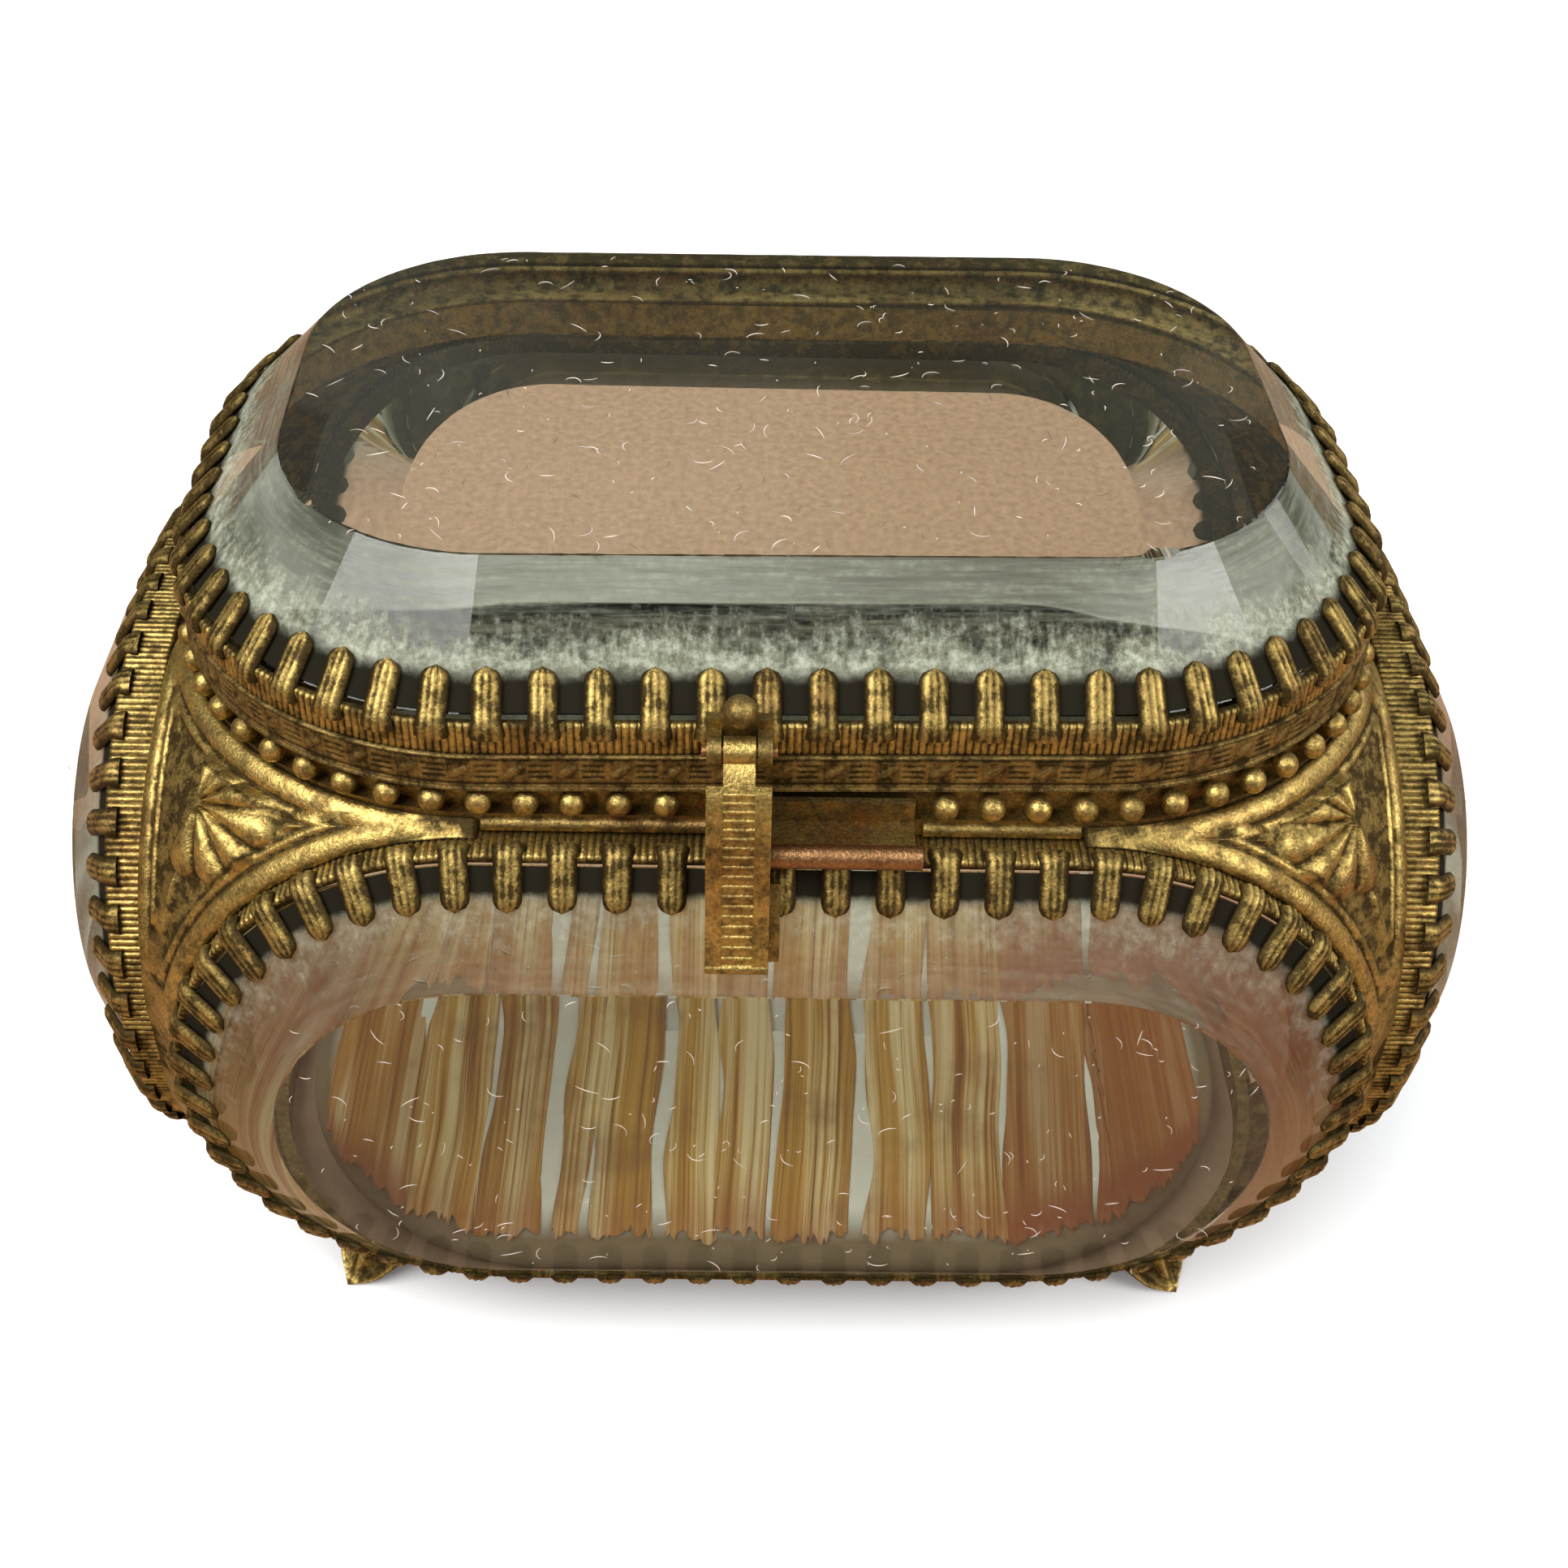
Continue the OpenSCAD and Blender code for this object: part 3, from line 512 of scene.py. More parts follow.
def gold_silk(tree, surface):
    """Old satin: threads run along v, paler and darker by turns as painted highlight and painted shade,
    and redder towards the frayed end.
    """
    chart = places(tree, "UV")
    fine = noise(tree, chart, 1.0, 3, 0.7, stretch=(2600, 22, 1))
    folds = noise(tree, chart, 1.0, 3, 0.6, stretch=(700, 14, 1))
    threads = calc(tree, "ADD", times(tree, fine, 0.5), times(tree, folds, 0.5))
    bands = noise(tree, chart, 1.0, 3, 0.6, stretch=(300, 9, 1))
    stains = noise(tree, places(tree), 90, 4, 0.6)
    # Painted shade: the dark thread colour stands in for the shade among the satin's threads and folds.
    shade, silk = (0.17, 0.05, 0.008, 1), colour(finish().silk)
    tone = mixed(tree, stepped(tree, threads, 0.34, 0.54), shade, silk)
    # Painted highlight: pale streaks where threads and bands run high, standing in for the satin's
    # sheen.
    pale = calc(tree, "ADD", threads, times(tree, bands, 0.8))
    tone = mixed(tree, stepped(tree, pale, 0.86, 1.04), tone, (0.98, 0.74, 0.4, 1))
    stained = times(tree, stepped(tree, stains, 0.5, 0.7), 0.5)
    tone = mixed(tree, stained, tone, (0.2, 0.07, 0.02, 1))
    # The mark reddens and darkens: the frayed end's own colour, and painted shade on the outer strips.
    tone = mixed(tree, marked(tree), tone, (0.27, 0.06, 0.015, 1))
    surfaced(
        tree, surface, Base_Color=tone, Roughness=0.42, Specular_IOR_Level=0.12,
        Normal=bumped(tree, threads, 0.5, 0.15),
    )


def wadding(tree, surface):
    """Cotton wadding: off-white, cloudy and tufted, and darkened at its edge by the mark."""
    cloud = noise(tree, places(tree), 400, 6, 0.7)
    tone = mixed(tree, cloud, (0.72, 0.62, 0.48, 1), (0.97, 0.93, 0.84, 1))
    tone = mixed(tree, marked(tree), tone, (0.17, 0.115, 0.06, 1))
    surfaced(
        tree, surface, Base_Color=tone, Roughness=0.95, Normal=bumped(tree, cloud, 0.6, 0.4)
    )


def brown_lacquer(tree, surface):
    """The bottom sheet, under old brown lacquer."""
    cloud = noise(tree, places(tree), 200)
    tone = mixed(tree, cloud, (0.26, 0.14, 0.08, 1), (0.52, 0.34, 0.23, 1))
    surfaced(tree, surface, Base_Color=tone, Roughness=0.6)


def table_top(tree, surface):
    """The table: white to the camera, and its own woven colour to glass, metal and soft light."""
    seen = add(tree, "ShaderNodeLightPath").outputs["Is Camera Ray"]
    weave = noise(tree, places(tree), 900, 3, 0.6)
    own = mixed(tree, 1.0, colour(finish().table), calc(tree, "ADD", weave, 0.5), "MULTIPLY")
    tone = mixed(tree, seen, own, (1, 1, 1, 1))
    shader = add(tree, "ShaderNodeBsdfDiffuse", Color=tone)
    tree.links.new(shader.outputs[0], surface)


FINISHES = {
    "Gilt brass": gilt_brass, "Worn brass": worn_brass, "Coppery brass": coppery_brass,
    "Bevelled glass": bevelled_glass, "Polish, dirt and shade": polish_dirt_and_shade, "Lint": lint,
    "Gold silk": gold_silk, "Wadding": wadding, "Brown lacquer": brown_lacquer,
    "Table": table_top,
}


def material(name):
    """A finish by its name, made the first time that it is asked for."""
    if name not in bpy.data.materials:
        FINISHES[name](*new_material(name))
    return bpy.data.materials[name]


# Pieces


def claws(side):
    """The claws of one collet, ribbed lengthwise and round at the tip.

    A claw's middle line leaves the wall upwards and bends over to the bevel's slope: its angle
    falls from 90 degrees by a smooth step. Across it, the height above that line is a flat
    ellipse plus three ribs, and the width closes as a half circle at the tip.
    """
    z, p = sizes(), pane(side)
    total = oblong_length(*p["outline"])
    count = round(total / z.claw_pitch)
    place, normal, _ = oblong_path(*p["outline"], 2 * count)
    place, normal = place[1::2], normal[1::2]
    rows, across = 16, 11
    run = np.linspace(-0.6, z.claw_l, rows)
    fine = np.linspace(-0.6, z.claw_l, 40 * (rows - 1) + 1)
    angle = p["slope"] + (math.pi / 2 - p["slope"]) * smooth(0.7 - fine, 0, 1.1)
    step = fine[1] - fine[0]
    out = -np.concatenate([[0], np.cumsum(np.cos(angle[:-1]) * step)])[::40]
    up = np.concatenate([[0], np.cumsum(np.sin(angle[:-1]) * step)])[::40]
    up = up + p["wall"] - p["drop"] - 0.55
    angle = angle[::40]
    half = z.claw_w / 2
    tip = np.clip((run - (z.claw_l - half)) / half, 0, 1)
    width = half * np.sqrt(1 - tip**2 * 0.999) * (1 + 0.16 * smooth(0.5 - run, 0, 1))
    y = np.linspace(-1, 1, across - 2)
    crown = np.sqrt(np.clip(1 - y**2, 0, 1))
    ribs = 0.07 * np.cos(2 * math.pi * y * 2.2) * crown
    thick = (z.claw_t * (0.25 + 0.75 * crown) + ribs) * (1 - 0.45 * tip[:, None] ** 2)
    y = np.concatenate([y, [1, -1]])
    thick = np.concatenate([thick, np.full((rows, 2), -0.05)], axis=1)
    side_way = width[:, None] * y
    reach = out[:, None] + np.sin(angle)[:, None] * thick
    height = up[:, None] + np.cos(angle)[:, None] * thick
    tangent = joined(-normal[:, 1], normal[:, 0])
    flat = (
        place[:, None, None, :]
        + normal[:, None, None, :] * reach[None, ..., None]
        + tangent[:, None, None, :] * side_way[None, ..., None]
    )
    points = np.concatenate(
        [flat, np.broadcast_to(height, flat.shape[:3])[..., None]], axis=-1
    )
    groove = 0.75 * (1 - np.cos(2 * math.pi * y[:-2] * 2.2)) / 2 + smooth(np.abs(y[:-2]), 0.7, 1)
    groove = np.concatenate([np.minimum(groove, 1), [1, 1]])
    return grid(carry(points, side), (False, True), hollow=groove)


def ribbed_wall(side):
    """A collet's wall and ledge: a closed profile carried round the outline.

    The wall's outside goes in and out as the absolute sine of the distance along it, which gives
    round ribs with sharp grooves between them.
    """
    z, p = sizes(), pane(side)
    total = oblong_length(*p["outline"])
    ribs = round(total / z.rib_pitch)
    path = oblong_path(*p["outline"], 5 * ribs)
    wave = 1 - np.abs(np.sin(np.pi * path[2] * ribs / total)) ** 0.7
    top = p["wall"]
    profile = np.array([
        (-0.25, 0), (-0.06, 0.08), (0, 0.3), (0, top / 2), (0, top - 0.4), (-0.16, top - 0.15),
        (-z.wall_t, top - 0.2), (-z.wall_t, 0.6), (-z.ledge_w, 0.6), (-z.ledge_w, 0),
    ])
    ribbed = np.array([0, 0.5, 1, 1, 1, 0.7, 0, 0, 0, 0])
    points = sweep(path, profile, -z.rib_depth * wave[:, None] * ribbed)
    hollow = 0.95 * smooth(wave, 0.15, 0.9)[:, None] * ribbed + (1 - ribbed) * 0.8
    return grid(carry(points, side), hollow=hollow)


def chasing(s, h, total, height):
    """Depth of the band's chasing: two lines along it, and by turns short strokes and a leaf.

    The strokes are three level grooves in a cell's first half, and the leaf is a raised, leaning
    ellipse in its second half.
    """
    cell = 3.6
    cells = round(total / cell)
    x = (s * cells / total) % 1
    lines = np.exp(-(((h - 0.86 * height) / 0.1) ** 2)) + np.exp(-(((h - 0.2 * height) / 0.1) ** 2))
    within = smooth(x, 0.03, 0.08) * smooth(0.5 - x, 0, 0.06)
    strokes = sum(np.exp(-(((h - k * height) / 0.09) ** 2)) for k in (0.38, 0.53, 0.68)) * within
    u, v = (x - 0.77) * cell, h - 0.53 * height
    along, off = 0.8 * u + 0.6 * v, -0.6 * u + 0.8 * v
    leaf = np.clip(1 - (along / 0.85) ** 2 - (off / 0.34) ** 2, 0, 1) ** 0.5
    cut = np.clip(lines + strokes, 0, 1)
    dark = np.clip(cut * 0.9 + 0.35 * (1 - leaf) * (x > 0.55), 0, 1)
    return -0.13 * cut + 0.16 * leaf - 0.04, dark


def lid_band():
    """The lid's chased band, a channel with a fine round lip above and below."""
    z = sizes()
    outline = (z.ring_l, z.ring_d, z.ring_r)
    total = oblong_length(*outline)
    path = oblong_path(*outline, 2100)
    face = np.linspace(0.3, z.band_h - 0.3, 24)
    lip = 0.18
    profile = np.concatenate([
        [(-0.3, 0.02), (0.02, 0.08), (lip, 0.2)], joined(0 * face, face),
        [(lip, z.band_h - 0.2), (0.02, z.band_h - 0.08), (-0.3, z.band_h - 0.02)],
        [(-2.2, z.band_h - 0.02), (-2.2, z.band_h - 0.5), (-0.7, z.band_h - 0.5), (-0.7, 0.5),
         (-2.2, 0.5), (-2.2, 0.02)],
    ])
    depth, dark = chasing(path[2][:, None], face[None, :], total, z.band_h)
    relief = np.zeros((len(path[2]), len(profile)))
    relief[:, 3:-9] = depth
    hollow = np.full(relief.shape, 0.25)
    hollow[:, 3:-9] = dark
    points = sweep(path, profile, relief)
    return grid(turned(points + (0, 0, z.rim_z + 0.1), z.askew), hollow=hollow)


def beads():
    """The beads round the rim, each a globe of rings, left out under the catch and the hinge."""
    z = sizes()
    outline = (z.ring_l, z.ring_d, z.ring_r)
    count = round(oblong_length(*outline) / z.bead_pitch)
    place = oblong_path(*outline, 2 * count)[0][1::2]
    x, y = place.T
    catch_left, catch_right, hinge_half = -4.8 - z.bead_r, 9.4 + z.bead_r, 11.75
    front, back = y < -z.ring_d / 2 + 1, y > z.ring_d / 2 - 1
    under = (front & (x > catch_left) & (x < catch_right)) | (back & (np.abs(x) < hinge_half))
    place = place[~under]
    u = np.linspace(0, 2 * math.pi, 16, endpoint=False)[:, None]
    v = np.linspace(0, math.pi, 11)[None, :]
    globe = z.bead_r * joined(np.cos(u) * np.sin(v), np.sin(u) * np.sin(v), np.cos(v))
    centre = joined(*place.T, z.rim_z - z.bead_r - 0.15)
    return grid(centre[:, None, None, :] + globe, (True, False))


def corner_relief(p):
    """Height of a corner's stamping over its ball, and how hidden each point is.

    Distances to the front, end and top outlines give the border: a wide round ridge, a groove and
    a thin ridge along the nearest outline. Inside lie a fan of petals, whose height falls with
    the distance from its root and dips between petals, a chevron and a leaf in each other point.
    """
    z = sizes()
    ball = np.array([z.front_l / 2 - z.panel_h / 2, z.ring_r - z.ring_d / 2, z.panel_z])
    to_front = np.hypot(p[..., 0] - ball[0], p[..., 2] - z.panel_z) - z.panel_h / 2
    end_y = z.panel_h / 2 - z.end_d / 2
    to_end = np.hypot(p[..., 1] - end_y, p[..., 2] - z.panel_z) - z.panel_h / 2
    to_top = np.hypot(p[..., 0] - (z.ring_l / 2 - z.ring_r), p[..., 1] - ball[1]) - z.ring_r
    near = np.minimum(np.minimum(to_front, to_end), to_top)
    wide = np.clip(1 - ((near - 0.72) / 0.62) ** 2, 0, 1) ** 0.5
    thin = np.clip(1 - ((near - 1.72) / 0.2) ** 2, 0, 1) ** 0.5
    pointed = smooth(p[..., 0] - ball[0], 0, 9) * smooth(ball[1] - p[..., 1], 0, 5)
    height = (0.42 * wide + 0.2 * thin) * (0.3 + 0.7 * pointed) - 0.25 * (1 - pointed)
    field = smooth(near, 1.9, 2.2)
    up, side = math.radians(38), math.radians(-43)
    pole = np.array([math.cos(up) * math.cos(side), math.cos(up) * math.sin(side), math.sin(up)])
    root = ball + z.ball_r * pole
    east = np.array([-math.sin(side), math.cos(side), 0])
    north = np.cross(pole, east)
    offset = p - root
    u, v = -(offset @ east), offset @ north
    ahead, aside = u * 0.98 + v * 0.17, v * 0.98 - u * 0.17
    aside = 1.18 * aside
    rho, phi = np.hypot(ahead, aside), np.arctan2(aside, ahead)
    spread = math.radians(112)
    lobe = np.abs(np.sin(z.petals * (phi / spread + 1) * math.pi / 2))
    reach = 6.7 * (0.88 + 0.12 * lobe)
    inside = (np.abs(phi) < spread) & (rho < reach)
    dome = np.sqrt(np.clip(1 - (rho / reach) ** 4, 0, 1)) * np.clip(rho / 1.2 + 0.45, 0, 1)
    fan = np.where(inside, dome * (0.42 + 0.6 * lobe**0.6) + 0.12, 0)
    height = np.maximum(height, fan * smooth(near, 1.3, 2.1))
    hollow = smooth(1 - wide - thin, 0.5, 1) * 0.85 * (1 - field)
    hollow = hollow + field * np.where(inside, 0.75 * (1 - smooth(lobe, 0.05, 0.45)), 0.55)
    lowest = np.sort(np.stack([to_front, to_end, to_top]), axis=0)
    ridge = np.clip(1 - (lowest[1] - lowest[0]) / 0.5, 0, 1) * smooth(lowest[0], 2.0, 2.2)
    ridge = ridge * np.where(inside, 0, 1) * smooth(rho, 7.1, 7.6)
    return height + 0.3 * ridge, np.clip(hollow - 0.5 * ridge, 0, 1)


def corner_grid(name):
    """One stamped corner, worked out for the upper front right and mirrored to its place.

    Its edge runs round three arcs, where the ball meets the three outlines, and three short
    necks. Rows of points go from a middle point to that edge, straight as seen from the ball's
    centre, on the outside with relief and on the inside plain.
    """
    z = sizes()
    seat, neck, thick = 0.05, 0.06, 0.9
    ball = np.array([z.front_l / 2 - z.panel_h / 2, z.ring_r - z.ring_d / 2, z.panel_z])
    side_r, top_r = z.panel_h / 2 + seat, z.ring_r + seat
    t = np.linspace(0, math.pi / 2, 150)
    across = math.sqrt(z.ball_r**2 - side_r**2)
    front = joined(side_r * np.cos(t), -across, side_r * np.sin(t))
    end_y = z.panel_h / 2 - z.end_d / 2 - ball[1]
    y = end_y - side_r * np.sin(t)
    h = side_r * np.cos(t)
    end = joined(np.sqrt(np.clip(z.ball_r**2 - y**2 - h**2, 0, None)), y, h)
    x = z.ring_l / 2 - z.ring_r - ball[0] + top_r * np.cos(t)
    y = -top_r * np.sin(t)
    top = joined(x, y, np.sqrt(np.clip(z.ball_r**2 - x**2 - y**2, 0, None)))
    loop = np.concatenate([front, top[::-1], end])
    x, y, h = loop.T
    loop = joined(np.maximum(x, neck), np.minimum(y, -neck), np.maximum(h, neck))
    loop = loop / np.linalg.norm(loop, axis=-1, keepdims=True)
    middle = np.array([0.62, -0.52, 0.585])
    middle = middle / np.linalg.norm(middle)
    reach = np.linspace(0, 1, 56)[None, :, None]
    way = middle * (1 - reach) + loop[:, None, :] * reach
    way = way / np.linalg.norm(way, axis=-1, keepdims=True)
    height, hollow = corner_relief(ball + z.ball_r * way)
    outer = ball + (z.ball_r + height[..., None]) * way
    inner = ball + (z.ball_r - thick) * way[:, ::8]
    cut = z.bead_r + 0.1
    for points in (outer, inner):
        flat = points[..., :2] - (z.ring_l / 2 - z.ring_r, ball[1])
        far = np.linalg.norm(flat, axis=-1)
        low = z.rim_z - z.bead_r - 0.15 - cut
        under = far < z.ring_r + cut
        points[..., 2] = np.where(under, np.minimum(points[..., 2], low), points[..., 2])
    points = np.concatenate([outer, inner[:, ::-1]], axis=1)
    marks = np.concatenate([hollow, np.full(inner.shape[:2], 0.6)], axis=1)
    flip = np.array([
        -1 if "left" in name else 1, -1 if "back" in name else 1, -1 if "lower" in name else 1
    ])
    points = points * flip + (0, 0, 2 * z.panel_z if "lower" in name else 0)
    return grid(points, (True, False), hollow=marks)


def glass_grid(side):
    """A bevelled glass: flat back, upright edge, bevel, a fine ground corner and a flat facet.

    The ground corner's width wanders with smooth noise, and a few chips widen it.
    """
    z, p = sizes(), pane(side)
    total = oblong_length(*p["outline"])
    path = oblong_path(*p["outline"], 720)
    edge = z.wall_t + 0.1
    bottom, top = 0.65, p["wall"] + p["rise"]
    slope = math.tan(p["slope"])
    edge_top = p["wall"] - p["drop"] - 0.1 + edge * slope
    s = path[2]
    fine = 0.07 + 0.03 * noise_1d(s, 3, 0.8) + 0.02 * noise_1d(s, 5, 3)
    chips = {"lid": ((26.9, 2.6, 0.5), (total - 43.5, 1.8, 0.4)), "front": ((30, 1.5, 0.25),)}
    for at, wide, deep in chips.get(side, ()):
        ragged = 0.7 + 0.3 * noise_1d(s, 9, 0.5)
        fine = fine + deep * smooth(1 - np.abs(s - at) / wide, 0, 0.6) * ragged
    profile = np.array([
        (-z.bevel_w, top), (-z.bevel_w, top), (-edge, edge_top), (-edge, bottom)
    ])
    points = sweep(path, profile)
    normal = path[1]
    points[:, 0, :2] -= normal * (fine * 1.3)[:, None]
    points[:, 1, :2] += normal * (fine * 0.6)[:, None]
    points[:, 1, 2] -= fine * 0.6 * slope
    return grid(carry(points, side), (True, False), caps=True)


def film_grid(side):
    """A thin film on the bevel, 0.04 mm off it, from the claws' roots nearly to the facet."""
    z, p = sizes(), pane(side)
    path = oblong_path(*p["outline"], 480)
    inward = np.linspace(z.wall_t + 0.15, z.bevel_w - 0.2, 14)
    base = p["wall"] - p["drop"] - 0.1 + 0.04 / math.cos(p["slope"])
    profile = joined(-inward, base + inward * math.tan(p["slope"]))
    points = sweep(path, profile)
    # Strength: full on the lid; on the side glasses it rises towards the top, so that the near-black
    # band of dirt and painted shade shows along their top edge, under the lid.
    amount = 1.0 if side == "lid" else 0.05 + 0.35 * smooth(points[..., 1], -4, 8)
    points = carry(points, side)
    v = (inward - inward[0]) / (inward[-1] - inward[0])
    u = path[2][:, None] * MM
    uv = joined(u, v[None, :])
    return grid(points, (True, False), hollow=amount, uv=uv, solid=False)


def lint_grid(side, count, seed):
    """Curled hairs on a glass's facet, each a three-sided tube along a bent arc."""
    z, p = sizes(), pane(side)
    rng = np.random.default_rng(seed)
    length, depth = p["outline"][:2]
    x = rng.uniform(-0.5, 0.5, count) * (length - 2 * z.bevel_w - 4)
    y = rng.uniform(-0.5, 0.5, count) * (depth - 2 * z.bevel_w - 2)
    turn, curl = rng.uniform(0, 2 * math.pi, count), rng.uniform(-2.4, 2.4, count)
    span = rng.uniform(0.3, 1.5, count) ** 1.6
    t = np.linspace(0, 1, 8)
    angle = turn[:, None] + curl[:, None] * (t - 0.5)
    step = span[:, None] / 7
    px = x[:, None] + np.cumsum(np.cos(angle) * step, axis=1)
    py = y[:, None] + np.cumsum(np.sin(angle) * step, axis=1)
    r = 0.04 * np.sin(np.pi * (0.08 + 0.84 * t))
    k = np.arange(3) * 2 * math.pi / 3
    off = r[None, :, None] * np.cos(k)
    rise = r[None, :, None] * (np.sin(k) + 1.2)
    points = joined(
        px[..., None] - np.sin(angle)[..., None] * off,
        py[..., None] + np.cos(angle)[..., None] * off, p["wall"] + p["rise"] + 0.02 + rise,
    )
    return grid(carry(points, side), (False, True))


def pad_top(x, y):
    """Height of the cushion's top: its edge plus a crown that falls as cosines to its sides."""
    z = sizes()
    fall = np.cos(np.pi / 2 * np.minimum(1, np.abs(x) / (z.pad_l / 2)))
    fall = fall * np.cos(np.pi / 2 * np.minimum(1, np.abs(y) / (z.pad_d / 2)))
    edge, crown = 10.1, 2.6
    return edge + crown * fall


def cushion_grid():
    """The wadding: rings from its flat underside round a full edge to its crown, tufted by noise."""
    z, low = sizes(), 6.55
    inward = np.array([22, 12, 6, 2.4, 1, 0.3, 0, 0.1, 0.6, 1.4, 2.6, 4.5, 7, 10, 13, 16, 20, 22.5])
    level = np.array([0, 0, 0, 0.02, 0.12, 0.3, 0.5, 0.7, 0.85, 0.95, 1, 1, 1, 1, 1, 1, 1, 1])
    path = oblong_path(z.pad_l, z.pad_d, z.ring_r - 1, 160)
    points = sweep(path, joined(-inward, level))
    tufts = 0.22 * noise_1d(points[..., 0] + 50, 11, 2.3) * noise_1d(points[..., 1] + 50, 12, 2.9)
    top = pad_top(points[..., 0], points[..., 1]) + tufts
    points[..., 2] = low + points[..., 2] * (top - low)
    return grid(points, (True, False), caps=True, hollow=1 - smooth(inward, 1.5, 4))


def silk_strips():
    """Edges of the silk's strips from left to right, and how much each is reddened: partly its own
    colour, and on the outer strips painted shade.

    The gaps between them show the wadding, and one is a dark slit.
    """
    return (
        (-39.0, -31.2, 0.45), (-31.0, -25.0, 0.1), (-24.8, -19.4, 0.2), (-18.2, -15.9, 0.0),
        (-15.2, -10.0, 0.0), (-8.9, -4.9, 0.0), (-4.8, -0.5, 0.1), (0.9, 6.9, 0.0),
        (8.6, 13.8, 0.05), (13.9, 20.6, 0.2), (20.8, 28.2, 0.6), (28.4, 39.0, 0.8),
    )


def silk_grids():
    """The split silk, strip by strip: each lies over the crown and ends in frayed tips near the front
    edge.

    A point's way along a strip runs from its frayed front tips to the back. Its height is the
    cushion's top plus ripples across the strip, and the strips lean as they go back.
    """
    z = sizes()
    grids = []
    for k, (x0, x1, red_and_shade) in enumerate(silk_strips()):
        cols = max(8, round((x1 - x0) * 5))
        u = np.linspace(0, 1, cols)[:, None]
        v = np.linspace(0, 1, 34)[None, :]
        x_front = x0 + (x1 - x0) * u
        fray = 1.3 * np.abs(noise_1d(x_front + 60, 21, 0.42)) + 0.5 * noise_1d(x_front + 60, 22, 1.7)
        corner = z.ring_r - 3
        past = np.clip(np.abs(x_front) - (z.pad_l / 2 - corner), 0, corner - 0.5)
        edge_y = z.pad_d / 2 - corner + np.sqrt(corner**2 - past**2)
        y = (1.0 + fray - edge_y) * (1 - v) + (edge_y - 3.0) * v
        lean = 1.0 * (x_front / 34) + 1.4 + 0.9 * noise_1d(np.full(1, k * 3.1), 23, 1.0)
        edge = noise_1d(v * 7 + k * 5, 27, 1.0) * (1 - u) + noise_1d(v * 6 + k * 9, 28, 1.0) * u
        x_front = x_front + 0.45 * edge
        x = x_front + (lean * v + 0.35 * noise_1d(v * 5 + k * 11, 26, 1.0)) * (np.abs(x_front) < 30)
        ripple = 0.16 * noise_1d(x_front * 3.1 + 200, 24, 1.0) + 0.12 * noise_1d(v * 9 + k * 7, 25, 1.0)
        lift = 0.35 + ripple * (0.4 + 0.6 * np.sin(np.pi * v)) + 0.0 * u
        limp = 1 - 0.75 * smooth(np.abs(2 * u - 1), 0.7, 1)
        points = joined(x, y, pad_top(x, y) + lift * limp)
        uv = joined(x_front * MM, v * 0.05 + k)
        # The mark: each strip's reddening, painted shade on the outer strips, plus the frayed front
        # end's own colour.
        marks = np.clip(red_and_shade + 0.5 * smooth(0.14 - v, 0, 0.14) + 0 * u, 0, 1)
        grids.append(grid(points, (False, False), hollow=marks, uv=uv, solid=False))
    return grids


def foot_grid(name):
    """A foot: a hollow leaf that hangs from the base's corner and narrows to a splayed toe.

    Its front is a grid from root to toe and from edge to edge. Its width closes as a power of the
    way down, a round ridge runs down its middle, its edges curl up, and it is hollow between them.
    The back is plain, and everything is held above the table.
    """
    z = sizes()
    t = np.linspace(0, 1, 30)[:, None]
    w = np.linspace(-1, 1, 33)[None, :]
    root_half, toe_half, toe_turn = 4.6, 1.15, -53
    toe = np.clip((t - 0.8) / 0.2, 0, 1)
    half = root_half * (1 - t) ** 0.75 + toe_half * np.sqrt(np.clip(1 - toe**2, 0, 1))
    ridge = np.exp(-((w * half / 0.75) ** 2)) * (0.9 - 0.25 * t)
    rim = 0.45 * np.exp(-(((np.abs(w) - 0.9) * half / 0.4) ** 2))
    dip = -0.55 * smooth(half, 1.2, 2.5) * np.exp(-(((np.abs(w) - 0.5) / 0.3) ** 2))
    radial = z.ring_r - 1.7 + 3.3 * t**1.4 + ridge + rim + dip - 0.6 * (w**2) * (1 - t)
    height = z.foot_h + 0.5 - (z.foot_h + 0.3) * t + 0.5 * np.abs(w) ** 2 * (1 - t)
    back = radial - 0.9 - ridge
    front = joined(radial, w * half, height)
    behind = joined(back, w * half * 0.97, height)
    points = np.concatenate([front, behind[:, ::-1]], axis=1)
    points[..., 2] = np.maximum(points[..., 2], 0)
    points = turned(points, toe_turn) + (z.ring_l / 2 - z.ring_r, z.ring_r - z.ring_d / 2, 0)
    flip = np.array([-1 if "left" in name else 1, -1 if "back" in name else 1, 1])
    marks = np.concatenate([
        np.clip(0.9 - ridge * 1.2 - rim * 2 + 0 * t, 0, 1), np.ones((30, 33))
    ], axis=1)
    return grid(points * flip, (False, True), hollow=marks)


# Operators


class CASKET_OT_glasses(Operator):
    """Makes the five bevelled glasses, with the polish dried on them, a band of dirt and painted shade
    at the claws' roots, and the lint
    """

    bl_idname = "casket.glasses"
    bl_label = "Glasses"

    def execute(self, context):
        for side in SIDES:
            body = "lid" if side == "lid" else "casket"
            make_piece(
                side + "_bevelled_glass", [glass_grid(side)], "Bevelled glass", body,
                [side + "_glass"], sharp=12,
            )
            make_piece(side + "_polish_and_shade_film", [film_grid(side)], "Polish, dirt and shade", body)
            count = {"lid": 240, "front": 200}.get(side, 40)
            hairs = lint_grid(side, count, 40 + len(side))
            make_piece(side + "_lint", [hairs], "Lint", body, weld=True)
        return {"FINISHED"}


